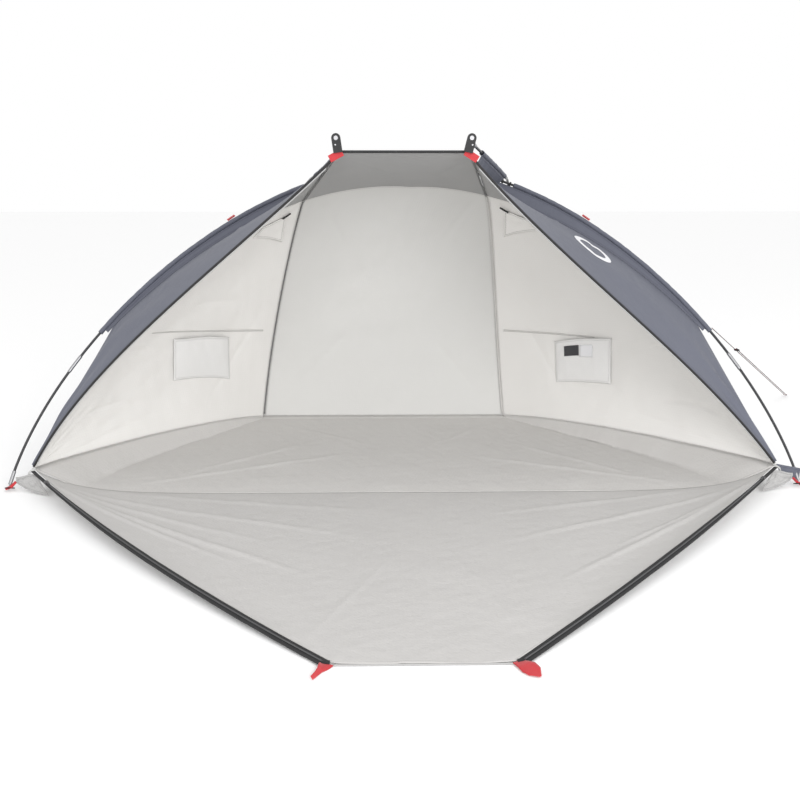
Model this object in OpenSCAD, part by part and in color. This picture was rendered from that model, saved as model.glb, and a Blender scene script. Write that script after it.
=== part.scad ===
// Beach shelter: a hoop pole and two ridge poles hold up a canopy with a sewn-in floor.
// The front panel unzips and lies on the ground as a mat.
// Origin: the middle of the fold line on the ground. +X right, +Y to the rear, +Z up.

/* [Shelter] */
// Width between the two raised front corners of the floor
corner_span = 2700; // [2660:5:2720]
// Height of those corners above the ground
corner_h = 70; // [60:1:80]
// Height of the canopy's front edge
front_top_h = 1162; // [1150:1:1170]
// Width of the canopy's front edge at the top
front_top_w = 450; // [430:5:470]
// Depth of the floor behind the fold line
floor_depth = 1000; // [980:5:1010]
// Width of the floor's rear edge
rear_w = 1120; // [1090:5:1140]
// How far the rear edge is pegged out to the left
rear_shift = 85; // [60:1:90]
// How far the front edges lean to the left at mid height
front_sway = 30; // [0:1:32]

/* [Hoop pole] */
// Distance between the hoop pole's two feet
foot_span = 2864; // [2850:2:2880]
// Height of the hoop pole's top
hoop_top_h = 1140; // [1130:1:1146]
// Angle by which the hoop leans to the rear
hoop_lean = 30; // [29:0.5:31]
// How far the top of the hoop leans to the right
hoop_sway = 25; // [15:1:26]
// Diameter of the fibreglass rods
rod_d = 9.5; // [8.5:0.1:10]
// Diameter of the metal ferrules
ferrule_d = 12.6; // [12.2:0.1:13]
// Length of a ferrule
ferrule_l = 76; // [60:1:90]

/* [Door panel] */
// Distance from the fold line to the door's hem
door_l = 1182; // [1150:2:1190]
// Width of the hem
hem_w = 444; // [420:2:450]
// Width of the zip tapes
zip_w = 30; // [24:1:32]
// Thickness of the cloth solids
cloth = 1.6; // [1.5:0.1:2]

/* [Guy line] */
// Diameter of the guy line
line_d = 3; // [2.5:0.1:3]

/* [Hidden] */

LEFT = -1;
RIGHT = 1;
black = "#1c1c1e";
red = "#d2262c";
cream = "#dedcd7";
blue_grey = "#7c8090";
grey = "#8f8f8f";
silver = "#b8babd";
floor_grey = "#c4c3c1";

// ---- Vector helpers ----
function lerp(a, b, t) = a + (b - a) * t;
function unit(v) = v / norm(v);
function bezier(p, t) =
  pow(1 - t, 3) * p[0] + 3 * t * pow(1 - t, 2) * p[1] + 3 * t * t * (1 - t) * p[2]
  + pow(t, 3) * p[3];
function bezier_dir(p, t) =
  unit(pow(1 - t, 2) * (p[1] - p[0]) + 2 * t * (1 - t) * (p[2] - p[1])
  + t * t * (p[3] - p[2]));
function ring(r, n) = [for (i = [0:n - 1]) r * [cos(i * 360 / n), sin(i * 360 / n)]];
function oblong(w, h) = [[w, h] / 2, [-w, h] / 2, [-w, -h] / 2, [w, -h] / 2];
// Running length along a list of points, and the point at a given length
function lengths(p) =
  [for (i = 0, s = 0; i < len(p); s = s + (i < len(p) - 1 ? norm(p[i + 1] - p[i]) : 0), i = i + 1) s];
function table(p, l, k) = [for (i = [0:len(p) - 1]) [l[i], p[i][k]]];
function at_length(p, l, s) = [for (k = [0:2]) lookup(s, table(p, l, k))];
function cut(p, l, from, to, n) = [for (i = [0:n]) at_length(p, l, lerp(from, to, i / n))];

// ---- Solids along a path and cloth sheets ----
// Direction of a path at one of its points
function along(path, i) = unit(path[min(i + 1, len(path) - 1)] - path[max(i - 1, 0)]);
// A flat outline swept along a path; its first axis stays across ref
function swept(path, outline, ref) = [for (i = [0:len(path) - 1])
  let (t = along(path, i), u = unit(cross(t, ref)), v = cross(u, t))
  for (q = outline) path[i] + q[0] * u + q[1] * v];

module sweep(path, outline, ref = [0, 1, 0]) {
  n = len(outline);
  m = len(path);
  sides = [for (i = [0:m - 2]) for (j = [0:n - 1])
    let (a = i * n + j, b = i * n + (j + 1) % n)
    for (f = [[a, b, a + n], [b, b + n, a + n]]) f];
  ends = [[for (j = [n - 1:-1:0]) j], [for (j = [0:n - 1]) (m - 1) * n + j]];
  polyhedron(swept(path, outline, ref), concat(sides, ends));
}

// A tube with a bore: outer and inner outlines have the same number of points
module hollow_sweep(path, outer, inner, ref = [0, 1, 0]) {
  n = len(outer);
  m = len(path);
  o = n * m;
  outside = [for (i = [0:m - 2]) for (j = [0:n - 1])
    let (a = i * n + j, b = i * n + (j + 1) % n)
    for (f = [[a, b, a + n], [b, b + n, a + n]]) f];
  inside = [for (f = outside) [f[0] + o, f[2] + o, f[1] + o]];
  e = (m - 1) * n;
  mouths = [for (j = [0:n - 1]) let (k = (j + 1) % n)
    for (f = [[j, j + o, k], [k, j + o, k + o],
      [e + j, e + k, e + j + o], [e + k, e + k + o, e + j + o]]) f];
  polyhedron(concat(swept(path, outer, ref), swept(path, inner, ref)),
    concat(outside, inside, mouths));
}

// Cloth: a grid of points thickened to both sides
function face_normal(g, i, j) =
  let (n = len(g) - 1, m = len(g[0]) - 1)
  unit(cross(g[min(i + 1, n)][j] - g[max(i - 1, 0)][j],
    g[i][min(j + 1, m)] - g[i][max(j - 1, 0)]));

module sheet(g, thick = cloth) {
  n = len(g);
  m = len(g[0]);
  o = n * m;
  top = [for (i = [0:n - 1]) for (j = [0:m - 1]) g[i][j] + face_normal(g, i, j) * thick / 2];
  low = [for (i = [0:n - 1]) for (j = [0:m - 1]) g[i][j] - face_normal(g, i, j) * thick / 2];
  skin = [for (i = [0:n - 2]) for (j = [0:m - 2]) let (a = i * m + j)
    for (f = [[a, a + 1, a + m], [a + 1, a + m + 1, a + m]]) f];
  back = [for (f = skin) [f[0] + o, f[2] + o, f[1] + o]];
  rim = concat([for (j = [0:m - 1]) j], [for (i = [1:n - 1]) i * m + m - 1],
    [for (j = [m - 2:-1:0]) (n - 1) * m + j], [for (i = [n - 2:-1:1]) i * m]);
  r = len(rim);
  edge = [for (k = [0:r - 1]) let (a = rim[k], b = rim[(k + 1) % r])
    for (f = [[a, a + o, b], [b, a + o, b + o]]) f];
  polyhedron(concat(top, low), concat(skin, back, edge));
}

// Turns and places a child drawn flat at the origin: its X along x, its Z along z
module placed(at, x, z) {
  w = unit(z);
  v = unit(cross(w, x));
  u = cross(v, w);
  multmatrix([[u.x, v.x, w.x, at.x], [u.y, v.y, w.y, at.y], [u.z, v.z, w.z, at.z], [0, 0, 0, 1]])
    children();
}

// ---- Lines of the shelter ----
function floor_corner(side) = [side * corner_span / 2, 20, corner_h];
function top_corner(side) = [side * front_top_w / 2 - 13, 0, front_top_h];
function rear_corner(side) = [side * rear_w / 2 - rear_shift, floor_depth, 0];

// Front edge of the canopy, from a floor corner (0) to a top corner (1)
edge_bow_low = [125, 45, 20];
edge_bow_high = [-10, 70, 0];
function front_edge(side, t) =
  let (a = floor_corner(side), b = top_corner(side))
  bezier([a, lerp(a, b, 1 / 3) + [side * edge_bow_low.x - front_sway * 1.3, edge_bow_low.y, edge_bow_low.z],
    lerp(a, b, 2 / 3) + [side * edge_bow_high.x - front_sway * 1.3, edge_bow_high.y, 0], b], t);

// Hoop pole in its own leaning plane: 0 at a foot, 1 at the top
hoop_curve = [[foot_span / 2, 0], [foot_span / 2 - 97, 490], [665, hoop_top_h], [0, hoop_top_h]];
function hoop(side, t, out = 0) =
  let (p = bezier(hoop_curve, t), d = bezier_dir(hoop_curve, t),
    q = p + out * [d.y, -d.x])
  [side * q.x + hoop_sway * pow(q.y / 1050, 2), tan(hoop_lean) * q.y, q.y];

// The canopy's seam runs below the hoop pole: 22 mm at a sleeve mouth and more to the top
mouth_t = 0.36;
ridge_t = [0.775, 0.835];
seam_drop_mouth = 22;
seam_drop_ridge = [52, 72];
seam_drop_top = 84;
function pick(side, pair) = side < 0 ? pair[0] : pair[1];
function hoop_seam(side, t) =
  let (k = pick(side, ridge_t), d = pick(side, seam_drop_ridge))
  hoop(side, t, -lookup(t, [[mouth_t, seam_drop_mouth], [k, d], [1, seam_drop_top]]));
function ridge_corner(side) = hoop_seam(side, pick(side, ridge_t));

// Outer seam of the canopy, from a floor corner (0) past the sleeve mouth to the ridge (1)
straight_part = 0.36;
function outer_seam(side, t) =
  t < straight_part
  ? lerp(floor_corner(side), hoop_seam(side, mouth_t), t / straight_part)
  : hoop_seam(side, lerp(mouth_t, pick(side, ridge_t), (t - straight_part) / (1 - straight_part)));

// Where the side wall meets the floor, from a floor corner (0) to a rear corner (1)
function wall_foot(side, t) =
  let (a = floor_corner(side), b = rear_corner(side))
  bezier([a, lerp(a, b, 0.3) + [0, 0, 30], lerp(a, b, 0.7) + [0, 0, 50], b + [0, 0, 6]], t);
// Where the floor reaches the ground beside the wall
function lip_foot(side, t) =
  let (a = floor_corner(side), b = rear_corner(side))
  bezier([[side * (a.x * side - 55), 55, 3], lerp(a, b, 0.3) + [-side * 60, -55, 3 - lerp(a, b, 0.3).z],
    lerp(a, b, 0.7) + [-side * 40, -45, 3 - lerp(a, b, 0.7).z], b + [0, 0, 3]], t);

// Ridge seam from the roof's rear corner (0) down to the floor's rear corner (1)
function rear_ridge(side, t) =
  let (a = ridge_corner(side), b = rear_corner(side) + [0, 0, 6])
  bezier([a, a + [side * 50, 190, -90], b + [-side * 40, 60, 420], b], t);

// Ridge pole: over the roof to the crossing, then down behind the wall to the rear corner
ridge_start = [222, -14, 1196];
crossing_rise = 18;
function crossing(side) = hoop(side, pick(side, [0.80, 0.805])) + [0, 5, crossing_rise];
function crossing_way(side) = [pick(side, [-105, 67]), 250, pick(side, [-60, -37])];
function ridge_front(side, t) =
  let (a = [side * ridge_start.x - 6, ridge_start.y, ridge_start.z], b = crossing(side))
  bezier([a, a + [pick(side, [0, 40]), 150, pick(side, [-8, -20])], b - crossing_way(side), b], t);
function ridge_rear(side, t) =
  let (a = crossing(side), b = rear_corner(side) + [side * 20, 26, 14])
  bezier([a, a + crossing_way(side) * 1.15, b + [-side * 48, 76, 520], b], t);
ridge_samples = 30;
function ridge_points(side) = concat(
  [for (i = [0:ridge_samples]) ridge_front(side, i / ridge_samples)],
  [for (i = [1:ridge_samples]) ridge_rear(side, i / ridge_samples)]);

// ---- Poles ----
rod_sides = 12;
ferrule_bore = 11;
tip_l = 70;
hoop_samples = 60;
hoop_points = concat([for (i = [0:hoop_samples]) hoop(LEFT, i / hoop_samples)],
  [for (i = [hoop_samples - 1:-1:0]) hoop(RIGHT, i / hoop_samples)]);
hoop_lengths = lengths(hoop_points);
hoop_length = hoop_lengths[len(hoop_lengths) - 1];
hoop_rods = 8;
rod_gap = 0.4;
hoop_plane = [0, cos(hoop_lean), -sin(hoop_lean)];

module hoop_rod(k) {
  first = (k == 0) ? tip_l / 2 : 0;
  last = (k == hoop_rods - 1) ? tip_l / 2 : 0;
  from = k * hoop_length / hoop_rods + first + rod_gap / 2;
  to = (k + 1) * hoop_length / hoop_rods - last - rod_gap / 2;
  color(black) sweep(cut(hoop_points, hoop_lengths, from, to, 8), ring(rod_d / 2, rod_sides), hoop_plane);
}

module ferrule(points, l, s, ref)
  hollow_sweep(cut(points, l, s - ferrule_l / 2, s + ferrule_l / 2, 6),
    ring(ferrule_d / 2, rod_sides), ring(ferrule_bore / 2, rod_sides), ref);

module hoop_ferrules() color(silver)
  for (k = [1:hoop_rods - 1]) ferrule(hoop_points, hoop_lengths, k * hoop_length / hoop_rods, hoop_plane);

// Metal foot: a socket for the rod with a solid spike below it
module hoop_tip(side) {
  foot = hoop(side, 0);
  rise = unit(hoop(side, 0.05) - foot);
  color(silver) placed(foot + rise * 2, [1, 0, 0], rise) {
    translate([0, 0, 1]) cylinder(d = 6, h = tip_l / 2 - 3, $fn = 32);
    difference() {
      translate([0, 0, 20]) cylinder(d = 13, h = tip_l - 20, $fn = 32);
      translate([0, 0, tip_l / 2 - 3]) cylinder(d = 11.5, h = tip_l, $fn = 32);
    }
  }
}

ridge_parts = 3;
module ridge_rod(side, k) {
  p = ridge_points(side);
  l = lengths(p);
  total = l[len(l) - 1];
  from = k * total / ridge_parts + (k == 0 ? 11 : rod_gap / 2);
  to = (k + 1) * total / ridge_parts - (k == ridge_parts - 1 ? 16 : rod_gap / 2);
  color(black) sweep(cut(p, l, from, to, 12), ring(rod_d / 2, rod_sides), [1, 0, 0]);
}

module ridge_ferrules() color(silver)
  for (side = [LEFT, RIGHT], k = [1, 2]) {
    p = ridge_points(side);
    l = lengths(p);
    ferrule(p, l, k * l[len(l) - 1] / ridge_parts, [1, 0, 0]);
  }

module ridge_tips() color(silver)
  for (side = [LEFT, RIGHT]) {
    foot = ridge_rear(side, 1);
    rise = unit(ridge_rear(side, 0.97) - foot);
    placed(foot - rise * 4, [1, 0, 0], rise) difference() {
      cylinder(d = 12.6, h = 44, $fn = 32);
      translate([0, 0, 17]) cylinder(d = 11, h = 44, $fn = 32);
    }
  }

// Moulded lug on the front end of a ridge pole, swinging on a rivet
lug_w = 30;
lug_h = 62;
lug_t = 7;
lug_y = -22;
rivet_d = 8;
function lug_pivot(side) = [side * 223 - 13, lug_y, 1216];
function lug_tilt(side) = pick(side, [-8, 14]);
module lug(side) color(black)
  translate(lug_pivot(side)) rotate([90, lug_tilt(side), 0]) difference() {
    linear_extrude(lug_t, center = true) union() {
      circle(d = lug_w, $fn = 48);
      translate([-lug_w / 2, lug_w / 2 - lug_h]) square([lug_w, lug_h - lug_w / 2]);
    }
    cylinder(d = rivet_d + 0.1, h = 20, center = true, $fn = 32);
  }

// Rivets that join the lugs to the flattened sockets on the ridge poles
module lug_rivets() color(silver)
  for (side = [LEFT, RIGHT]) {
    translate(lug_pivot(side)) rotate([90, 0, 0]) {
      cylinder(d = rivet_d, h = lug_t + 2, center = true, $fn = 32);
      translate([0, 0, lug_t / 2 + 0.5]) cylinder(d = 14, h = 1.6, $fn = 32);
    }
    socket(side);
  }
module socket(side) {
  start = ridge_front(side, 0);
  rise = unit(ridge_front(side, 0.06) - start);
  difference() {
    union() {
      translate(lug_pivot(side) + [-8, lug_t / 2 + 0.6, -24]) cube([16, 3, 34]);
      placed(start - rise * 2, [1, 0, 0], rise) cylinder(d = 14, h = 34, $fn = 32);
    }
    placed(start + rise * 8, [1, 0, 0], rise) cylinder(d = 11, h = 40, $fn = 32);
  }
}

// Red webbing folded round the canopy's top corner, behind the lug
module top_tab(side) color(red)
  translate(top_corner(side) + [0, -12, 0]) rotate([0, pick(side, [-28, 32]), 0])
    difference() {
      translate([-24, -3, -14]) cube([48, 6, 24]);
      translate([-18, -1, -11]) cube([36, 2, 30]);
    }

module crossing_clips() color(black)
  for (side = [LEFT, RIGHT]) {
    at = hoop(side, pick(side, [0.80, 0.805]));
    across = unit(hoop(side, 0.83) - hoop(side, 0.77));
    placed(at, hoop_plane, across) for (s = [-1, 1])
      translate([0, 0, s * 16 - 3]) difference() {
        cylinder(d = 17, h = 6, $fn = 32);
        cylinder(d = 11.4, h = 30, center = true, $fn = 32);
      }
  }

// ---- Canopy ----
module roof_panel() color(grey) sheet([for (i = [0:12]) [for (j = [0:4])
  let (a = lerp(0.015, 0.985, i / 12), b = lerp(0.02, 0.985, j / 4))
  lerp(front_top(a), roof_rear(a), b)]]);
// The roof's front edge, and its rear edge along the seam below the hoop
function front_top(a) = lerp(top_corner(LEFT), top_corner(RIGHT), a) + [0, 0, 12];
function roof_rear(a) = a < 0.5
  ? hoop_seam(LEFT, lerp(ridge_t[0], 1, a * 2))
  : hoop_seam(RIGHT, lerp(1, ridge_t[1], a * 2 - 1));

module front_canopy(side) color(blue_grey) sheet([for (i = [0:16]) [for (j = [0:4])
  let (a = lerp(0.05, 0.985, i / 16), b = lerp(0.02, 0.97, j / 4), k = side < 0 ? b : 1 - b)
  lerp(front_edge(side, a), outer_seam(side, a), k)]]);

// Black tape with half a zip along the front edge of the canopy
tape_in = 11;
module front_edge_tape() color(black) {
  for (side = [LEFT, RIGHT])
    sweep([for (i = [0:16]) front_edge(side, lerp(0.03, 0.97, i / 16)) + [-side * tape_in * 0.7, -3, -tape_in * 0.7]],
      oblong(3, 12), [-side, 0, -1]);
  sweep([for (i = [0:4]) front_top(lerp(0.08, 0.92, i / 4)) + [0, -4, -2]], oblong(3, 10), [0, 0, 1]);
}

// Patch between three curves that share a corner
function wall_point(side, a, b) =
  lerp(wall_foot(side, a), outer_seam(side, a), b)
  + a * (rear_ridge(side, 1 - b) - lerp(wall_foot(side, 1), outer_seam(side, 1), b));
module side_wall(side) color(cream) difference() {
  sheet([for (i = [0:14]) [for (j = [0:8])
    let (a = lerp(0.06, 0.985, i / 14), b = lerp(0.02, 0.985, j / 8))
    wall_point(side, a, side < 0 ? b : 1 - b)]]);
  vent_cutter(side);
}

function rear_foot(a) = lerp(rear_corner(LEFT), rear_corner(RIGHT), a) + [0, 0, 6];
function rear_point(a, b) = lerp(rear_foot(a), roof_rear(a), b)
  + (1 - a) * (rear_ridge(LEFT, 1 - b) - lerp(rear_foot(0), roof_rear(0), b))
  + a * (rear_ridge(RIGHT, 1 - b) - lerp(rear_foot(1), roof_rear(1), b));
module rear_wall() color(cream) sheet([for (i = [0:12]) [for (j = [0:10])
  rear_point(lerp(0.015, 0.985, i / 12), lerp(0.985, 0.01, j / 10))]]);

// ---- Sleeves ----
sleeve_bore = 14;
// Outline of a sleeve: round over the pole, drawn down to a fin that is sewn to the canopy
function sleeve_outline(fin) = [for (i = [0:11]) let (a = i * 30 + 90, r = sleeve_bore / 2 + 1.6)
  r * [cos(a), sin(a)] + (i == 6 ? [0, -fin] : [0, 0])];
function sleeve_inner() = [for (i = [0:11]) sleeve_bore / 2 * [cos(i * 30 + 90), sin(i * 30 + 90)]];
sleeve_reach = sleeve_bore / 2 + 1.6;
// A sleeve's end near the ridge: two strips of cloth join it to the canopy's seam
sleeve_end = [0.755, 0.765];
sleeve_mouth = mouth_t - 0.022;
module hoop_sleeve(side) color(blue_grey) {
  t = [for (i = [0:18]) lerp(sleeve_mouth, pick(side, sleeve_end), i / 18)];
  hollow_sweep([for (q = t) hoop(side, q)], sleeve_outline(2), sleeve_inner(), -side * hoop_plane);
  drop = pick(side, seam_drop_ridge);
  u = [for (i = [3:18]) t[i]];
  sheet([for (q = u) [for (j = [0:2])
    let (d = lookup(q, [[mouth_t, seam_drop_mouth], [pick(side, ridge_t), drop]]))
    hoop(side, q, -lerp(sleeve_reach + 2.2, max(d - 3, sleeve_reach + 4), side < 0 ? j / 2 : 1 - j / 2))]]);
}

module sleeve_ties() color(red)
  for (side = [LEFT, RIGHT]) {
    at = hoop(side, 0.64, 12);
    placed(at, hoop(side, 0.66) - hoop(side, 0.62), [side * 0.45, -0.3, 0.8])
      difference() {
        translate([-17, -7, 1]) cube([34, 14, 5]);
        translate([-11, -10, 2.6]) cube([22, 20, 1.8]);
      }
  }

// Point of the roof's side seam below a point of the ridge pole
function roof_seam(side, p) = lerp(top_corner(side), ridge_corner(side), p.y / ridge_corner(side).y);
module ridge_sleeve(side) color(blue_grey) {
  path = [for (i = [0:12]) ridge_front(side, lerp(0.12, 0.93, i / 12))];
  hollow_sweep(path, sleeve_outline(2), sleeve_inner(), [-1, 0, 0]);
  sheet([for (p = path) [for (j = [0:2])
    lerp(p - [0, 0, sleeve_reach + 3], roof_seam(side, p) + [side * 1, 0, 5], side < 0 ? 1 - j / 2 : j / 2)]]);
}
module rear_sleeve(side) {
  path = [for (i = [0:14]) ridge_rear(side, lerp(0.12, 0.93, i / 14))];
  color(blue_grey) hollow_sweep(path, sleeve_outline(3), sleeve_inner(), [-1, 0, 0]);
}

// ---- Floor ----
fold_y = -50;
flat_half = 1060;
module floor_panel() color(floor_grey) linear_extrude(cloth) polygon(concat(
  [[-flat_half, fold_y + 3], [flat_half, fold_y + 3]],
  [for (i = [0:10]) let (p = lip_foot(RIGHT, lerp(0.04, 0.98, i / 10))) [p.x - 3, p.y - 4]],
  [for (i = [10:-1:0]) let (p = lip_foot(LEFT, lerp(0.04, 0.98, i / 10))) [p.x + 3, p.y - 4]]));

// Raised side of the floor between the ground and the wall
module floor_lip(side) color(floor_grey) sheet([for (i = [0:14]) [for (j = [0:3])
  let (a = lerp(0.07, 0.95, i / 14), b = side < 0 ? j / 3 : 1 - j / 3)
  lerp(lip_foot(side, a) + [0, 0, 1], wall_foot(side, a) + [0, 0, -4], b)]]);

// Cloth corner piece from the raised floor corner out to the foot of the hoop pole
module corner_gusset(side) color(cream) sheet([for (i = [0:5]) [for (j = [0:4])
  let (a = i / 5, b = side < 0 ? j / 4 : 1 - j / 4,
    low = lerp([side * 1312, -14, 4], [side * 1388, 0, 5], a),
    high = lerp([side * 1336, 6, 58], [side * 1388, 2, 28], a))
  lerp(low, high, b)]]);

// Webbing with an eyelet that holds each foot of the hoop pole
module foot_straps() color(red)
  for (side = [LEFT, RIGHT]) {
    foot = hoop(side, 0);
    rise = unit(hoop(side, 0.05) - foot);
    difference() {
      translate(foot + [side * -13 - 24, -10, 10]) cube([48, 20, 3]);
      placed(foot - rise * 5, [1, 0, 0], rise) cylinder(d = 7.6, h = 60, $fn = 32);
    }
  }

// ---- Door panel, lying open in front ----
hem_y = fold_y - door_l;
hem_h = 2;
// How far the left and the right edge of the door bow outwards
door_bow = [42, 22];
hem_shift = 8;
function hem_corner(side) = [side * hem_w / 2 + hem_shift, hem_y, hem_h];
function door_chord(side) = floor_corner(side) - hem_corner(side);
// Upwards from the strip of cloth beside the zip, and outwards within it
function door_up(side) = unit(cross(cross(door_chord(side), [0, 0, 1]), door_chord(side)));
function door_out(side) = side * unit(cross(door_chord(side), door_up(side)));
function door_radius(side) =
  let (c = norm(door_chord(side)), b = pick(side, door_bow)) (c * c / 4 + b * b) / (2 * b);
// The zip follows a long arc, from the hem corner (0) to the floor corner (1)
function door_edge(side, t, out = 0, up = 0) =
  let (c = norm(door_chord(side)), r = door_radius(side), half = asin(c / 2 / r),
    q = lerp(-half, half, t))
  hem_corner(side) + door_chord(side) / 2 + door_up(side) * up
  + door_out(side) * ((r + out) * cos(q) - r + pick(side, door_bow))
  + unit(door_chord(side)) * (r + out) * sin(q);

zip_from = 0.004;
zip_to = 0.925;
door_inset = zip_w / 2 + 4;
// The door's cloth from side (-1) to side (1) and from its hem (0) to the fold line (1)
function door_point(a, b) =
  let (side = a < 0 ? LEFT : RIGHT, u = abs(a),
    e = door_edge(side, lerp(zip_from, zip_to, b), -door_inset, 0),
    w = pow(u, 10))
  [e.x * u, lerp(lerp(hem_y, fold_y - 3, b), e.y, w), lerp(1, e.z, w)];
module door_panel() color(floor_grey) sheet([for (i = [-10:10]) [for (j = [0:10])
  door_point(sin(i * 90 / 10), j / 10)]]);

coil_w = 5;
coil_h = 3.5;
tape_t = 2;
zip_steps = 24;
// Zip tape with the raised coil of the zip along its middle
module zip_tape(side) color(black) {
  path = [for (i = [0:zip_steps]) door_edge(side, lerp(zip_from, zip_to, i / zip_steps), 0, 1.4)];
  sweep(path, oblong(zip_w, tape_t), door_up(side));
  coil = [for (i = [0:zip_steps]) door_edge(side, lerp(zip_from, zip_to, i / zip_steps), 0, 1.4 + 2.7)];
  sweep(coil, oblong(coil_w, coil_h), door_up(side));
}

slider_l = 16;
slider_w = 11;
slider_clear = 0.6;
slider_at = 0.90;
slider_base = 1.4 + tape_t / 2 + 0.4;
// Slider over the coil, with a pull that lies flat on it
module zip_slider(side) color(silver)
  placed(door_edge(side, slider_at), door_out(side), unit(door_edge(side, slider_at + 0.001)
    - door_edge(side, slider_at))) rotate([0, 0, side < 0 ? 0 : 180]) {
    difference() {
      slider_box(slider_w, slider_base, slider_base + coil_h + 3.2, slider_l);
      slider_box(coil_w + 2 * slider_clear, slider_base - 1, slider_base + coil_h + slider_clear, slider_l + 2);
    }
    translate([0, 0, -slider_l * 0.9]) slider_box(7, slider_base + coil_h + 1.6, slider_base + coil_h + 3.2, 26);
  }
module slider_box(w, low, high, l)
  translate([-w / 2, low, -l / 2]) cube([w, high - low, l]);

// Webbing tabs at the hem corners: twisted on the left, spread flat on the right
module stake_tab(side) color(red) linear_extrude(1.6)
  polygon(side < 0
    ? [[-206, hem_y - 4], [-230, hem_y - 4], [-243, hem_y - 36], [-254, hem_y - 66],
      [-240, hem_y - 68], [-226, hem_y - 40]]
    : [[206, hem_y - 4], [238, hem_y - 4], [262, hem_y - 20], [277, hem_y - 58],
      [254, hem_y - 52], [226, hem_y - 36]]);

// ---- Vents and pockets on the side walls ----
// Direction into the shelter from a point of a side wall
function wall_in(side, a, b) =
  let (e = 0.01)
  -side * unit(cross(wall_point(side, a + e, b) - wall_point(side, a - e, b),
    wall_point(side, a, b + e) - wall_point(side, a, b - e)));
// Point of a four-sided patch given by corners on the wall, moved into the shelter by d
function patch_ab(q, c, d) = lerp(lerp(q[0], q[1], c), lerp(q[3], q[2], c), d);
function patch_point(side, q, c, d, in) =
  let (p = patch_ab(q, c, d)) wall_point(side, p.x, p.y) + wall_in(side, p.x, p.y) * in;
module patch(side, q, n, m, in) sheet([for (i = [0:n]) [for (j = [0:m])
  patch_point(side, q, i / n, side < 0 ? j / m : 1 - j / m, in)]]);

// Vent corners on a wall: bottom front, bottom rear, top rear, top front
vent = [[0.845, 0.85], [0.955, 0.735], [0.952, 0.905], [0.875, 0.90]];
vent_hole = [[0.862, 0.855], [0.948, 0.768], [0.945, 0.892], [0.882, 0.887]];
module vent_meshes() color(black)
  for (side = [LEFT, RIGHT]) patch(side, vent, 4, 4, -4);
module vent_flap(side) color(cream) patch(side, vent, 4, 4, 7);
module vent_cutter(side) {
  c = [for (k = [[0, 0], [1, 0], [1, 1], [0, 1]]) for (in = [-6, 6])
    patch_point(side, vent_hole, k.x, k.y, in)];
  hull() polyhedron(c, [[0, 2, 4, 6], [1, 3, 5, 7], [0, 1, 3, 2], [2, 3, 5, 4], [4, 5, 7, 6], [6, 7, 1, 0]]);
}

// Pocket corners on a wall: bottom front, bottom rear, top rear, top front
pocket_corners = [
  [[0.553, 0.265], [0.798, 0.177], [0.781, 0.365], [0.557, 0.497]],
  [[0.560, 0.228], [0.755, 0.164], [0.768, 0.336], [0.580, 0.460]]
];
pocket_rim = 4;
pocket_depth = 18;
function pocket_in(c, d) = pocket_rim + pocket_depth * (1 - pow(2 * c - 1, 4)) * (1 - pow(1 - d, 3));
module pocket(side) color(cream) sheet([for (i = [0:8]) [for (j = [0:6])
  let (c = i / 8, d = side < 0 ? j / 6 : 1 - j / 6)
  patch_point(side, pick(side, pocket_corners), c, d, pocket_in(c, d))]]);

// ---- Guy line on the right ----
guy_start = hoop(RIGHT, sleeve_mouth + 0.002, 13);
guy_end = [1970, 1390, 15];
guy_way = unit(guy_end - guy_start);
guy_side = unit(cross(guy_way, [0, 0, 1]));
guy_gap = 9;
// The loop for the peg, across and along from the middle between the two runs
guy_loop = [[-6, 8], [-8, 15], [-8, 22], [-5.6, 28], [0, 30], [5.6, 28], [8, 22], [8, 15], [6, 8]];
slider_point = lerp(guy_start, guy_end, 0.27);
guy_return = lerp(guy_start, guy_end, 0.27) + guy_side * guy_gap - guy_way * 16;
module guy_line() color(black)
  sweep(concat(
    [for (i = [0:11]) lerp(guy_start, guy_end, i / 11)],
    [for (q = guy_loop) guy_end + guy_side * (guy_gap / 2 + q.x) + guy_way * q.y],
    [for (i = [0:8]) lerp(guy_end + guy_side * guy_gap, guy_return, i / 8)]),
    ring(line_d / 2, 8), cross(guy_way, guy_side));

module guy_slider() color(black)
  placed(slider_point, guy_side, guy_way) difference() {
    translate([-5, -3, -9]) cube([guy_gap + 10, 6, 18]);
    cylinder(d = line_d + 0.9, h = 40, center = true, $fn = 32);
    translate([guy_gap, 0, 0]) cylinder(d = line_d + 0.9, h = 40, center = true, $fn = 32);
  }

module guy_knot() color(black)
  placed(guy_return - guy_way * 4.2, guy_side, guy_way) cylinder(d = 7, h = 8, center = true, $fn = 32);

for (k = [0:hoop_rods - 1]) hoop_rod(k);
hoop_ferrules();
hoop_tip(LEFT);  // hoop_tip_left
hoop_tip(RIGHT);  // hoop_tip_right
ridge_rod(LEFT, 0);  // ridge_rod_left_front
ridge_rod(LEFT, 1);  // ridge_rod_left_middle
ridge_rod(LEFT, 2);  // ridge_rod_left_rear
ridge_rod(RIGHT, 0);  // ridge_rod_right_front
ridge_rod(RIGHT, 1);  // ridge_rod_right_middle
ridge_rod(RIGHT, 2);  // ridge_rod_right_rear
ridge_ferrules();
ridge_tips();
lug(LEFT);  // lug_left
lug(RIGHT);  // lug_right
lug_rivets();
top_tab(LEFT);  // top_tab_left
top_tab(RIGHT);  // top_tab_right
crossing_clips();
roof_panel();
front_canopy(LEFT);  // front_canopy_left
front_canopy(RIGHT);  // front_canopy_right
front_edge_tape();
side_wall(LEFT);  // side_wall_left
side_wall(RIGHT);  // side_wall_right
rear_wall();
hoop_sleeve(LEFT);  // hoop_sleeve_left
hoop_sleeve(RIGHT);  // hoop_sleeve_right
sleeve_ties();
ridge_sleeve(LEFT);  // ridge_sleeve_left
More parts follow.
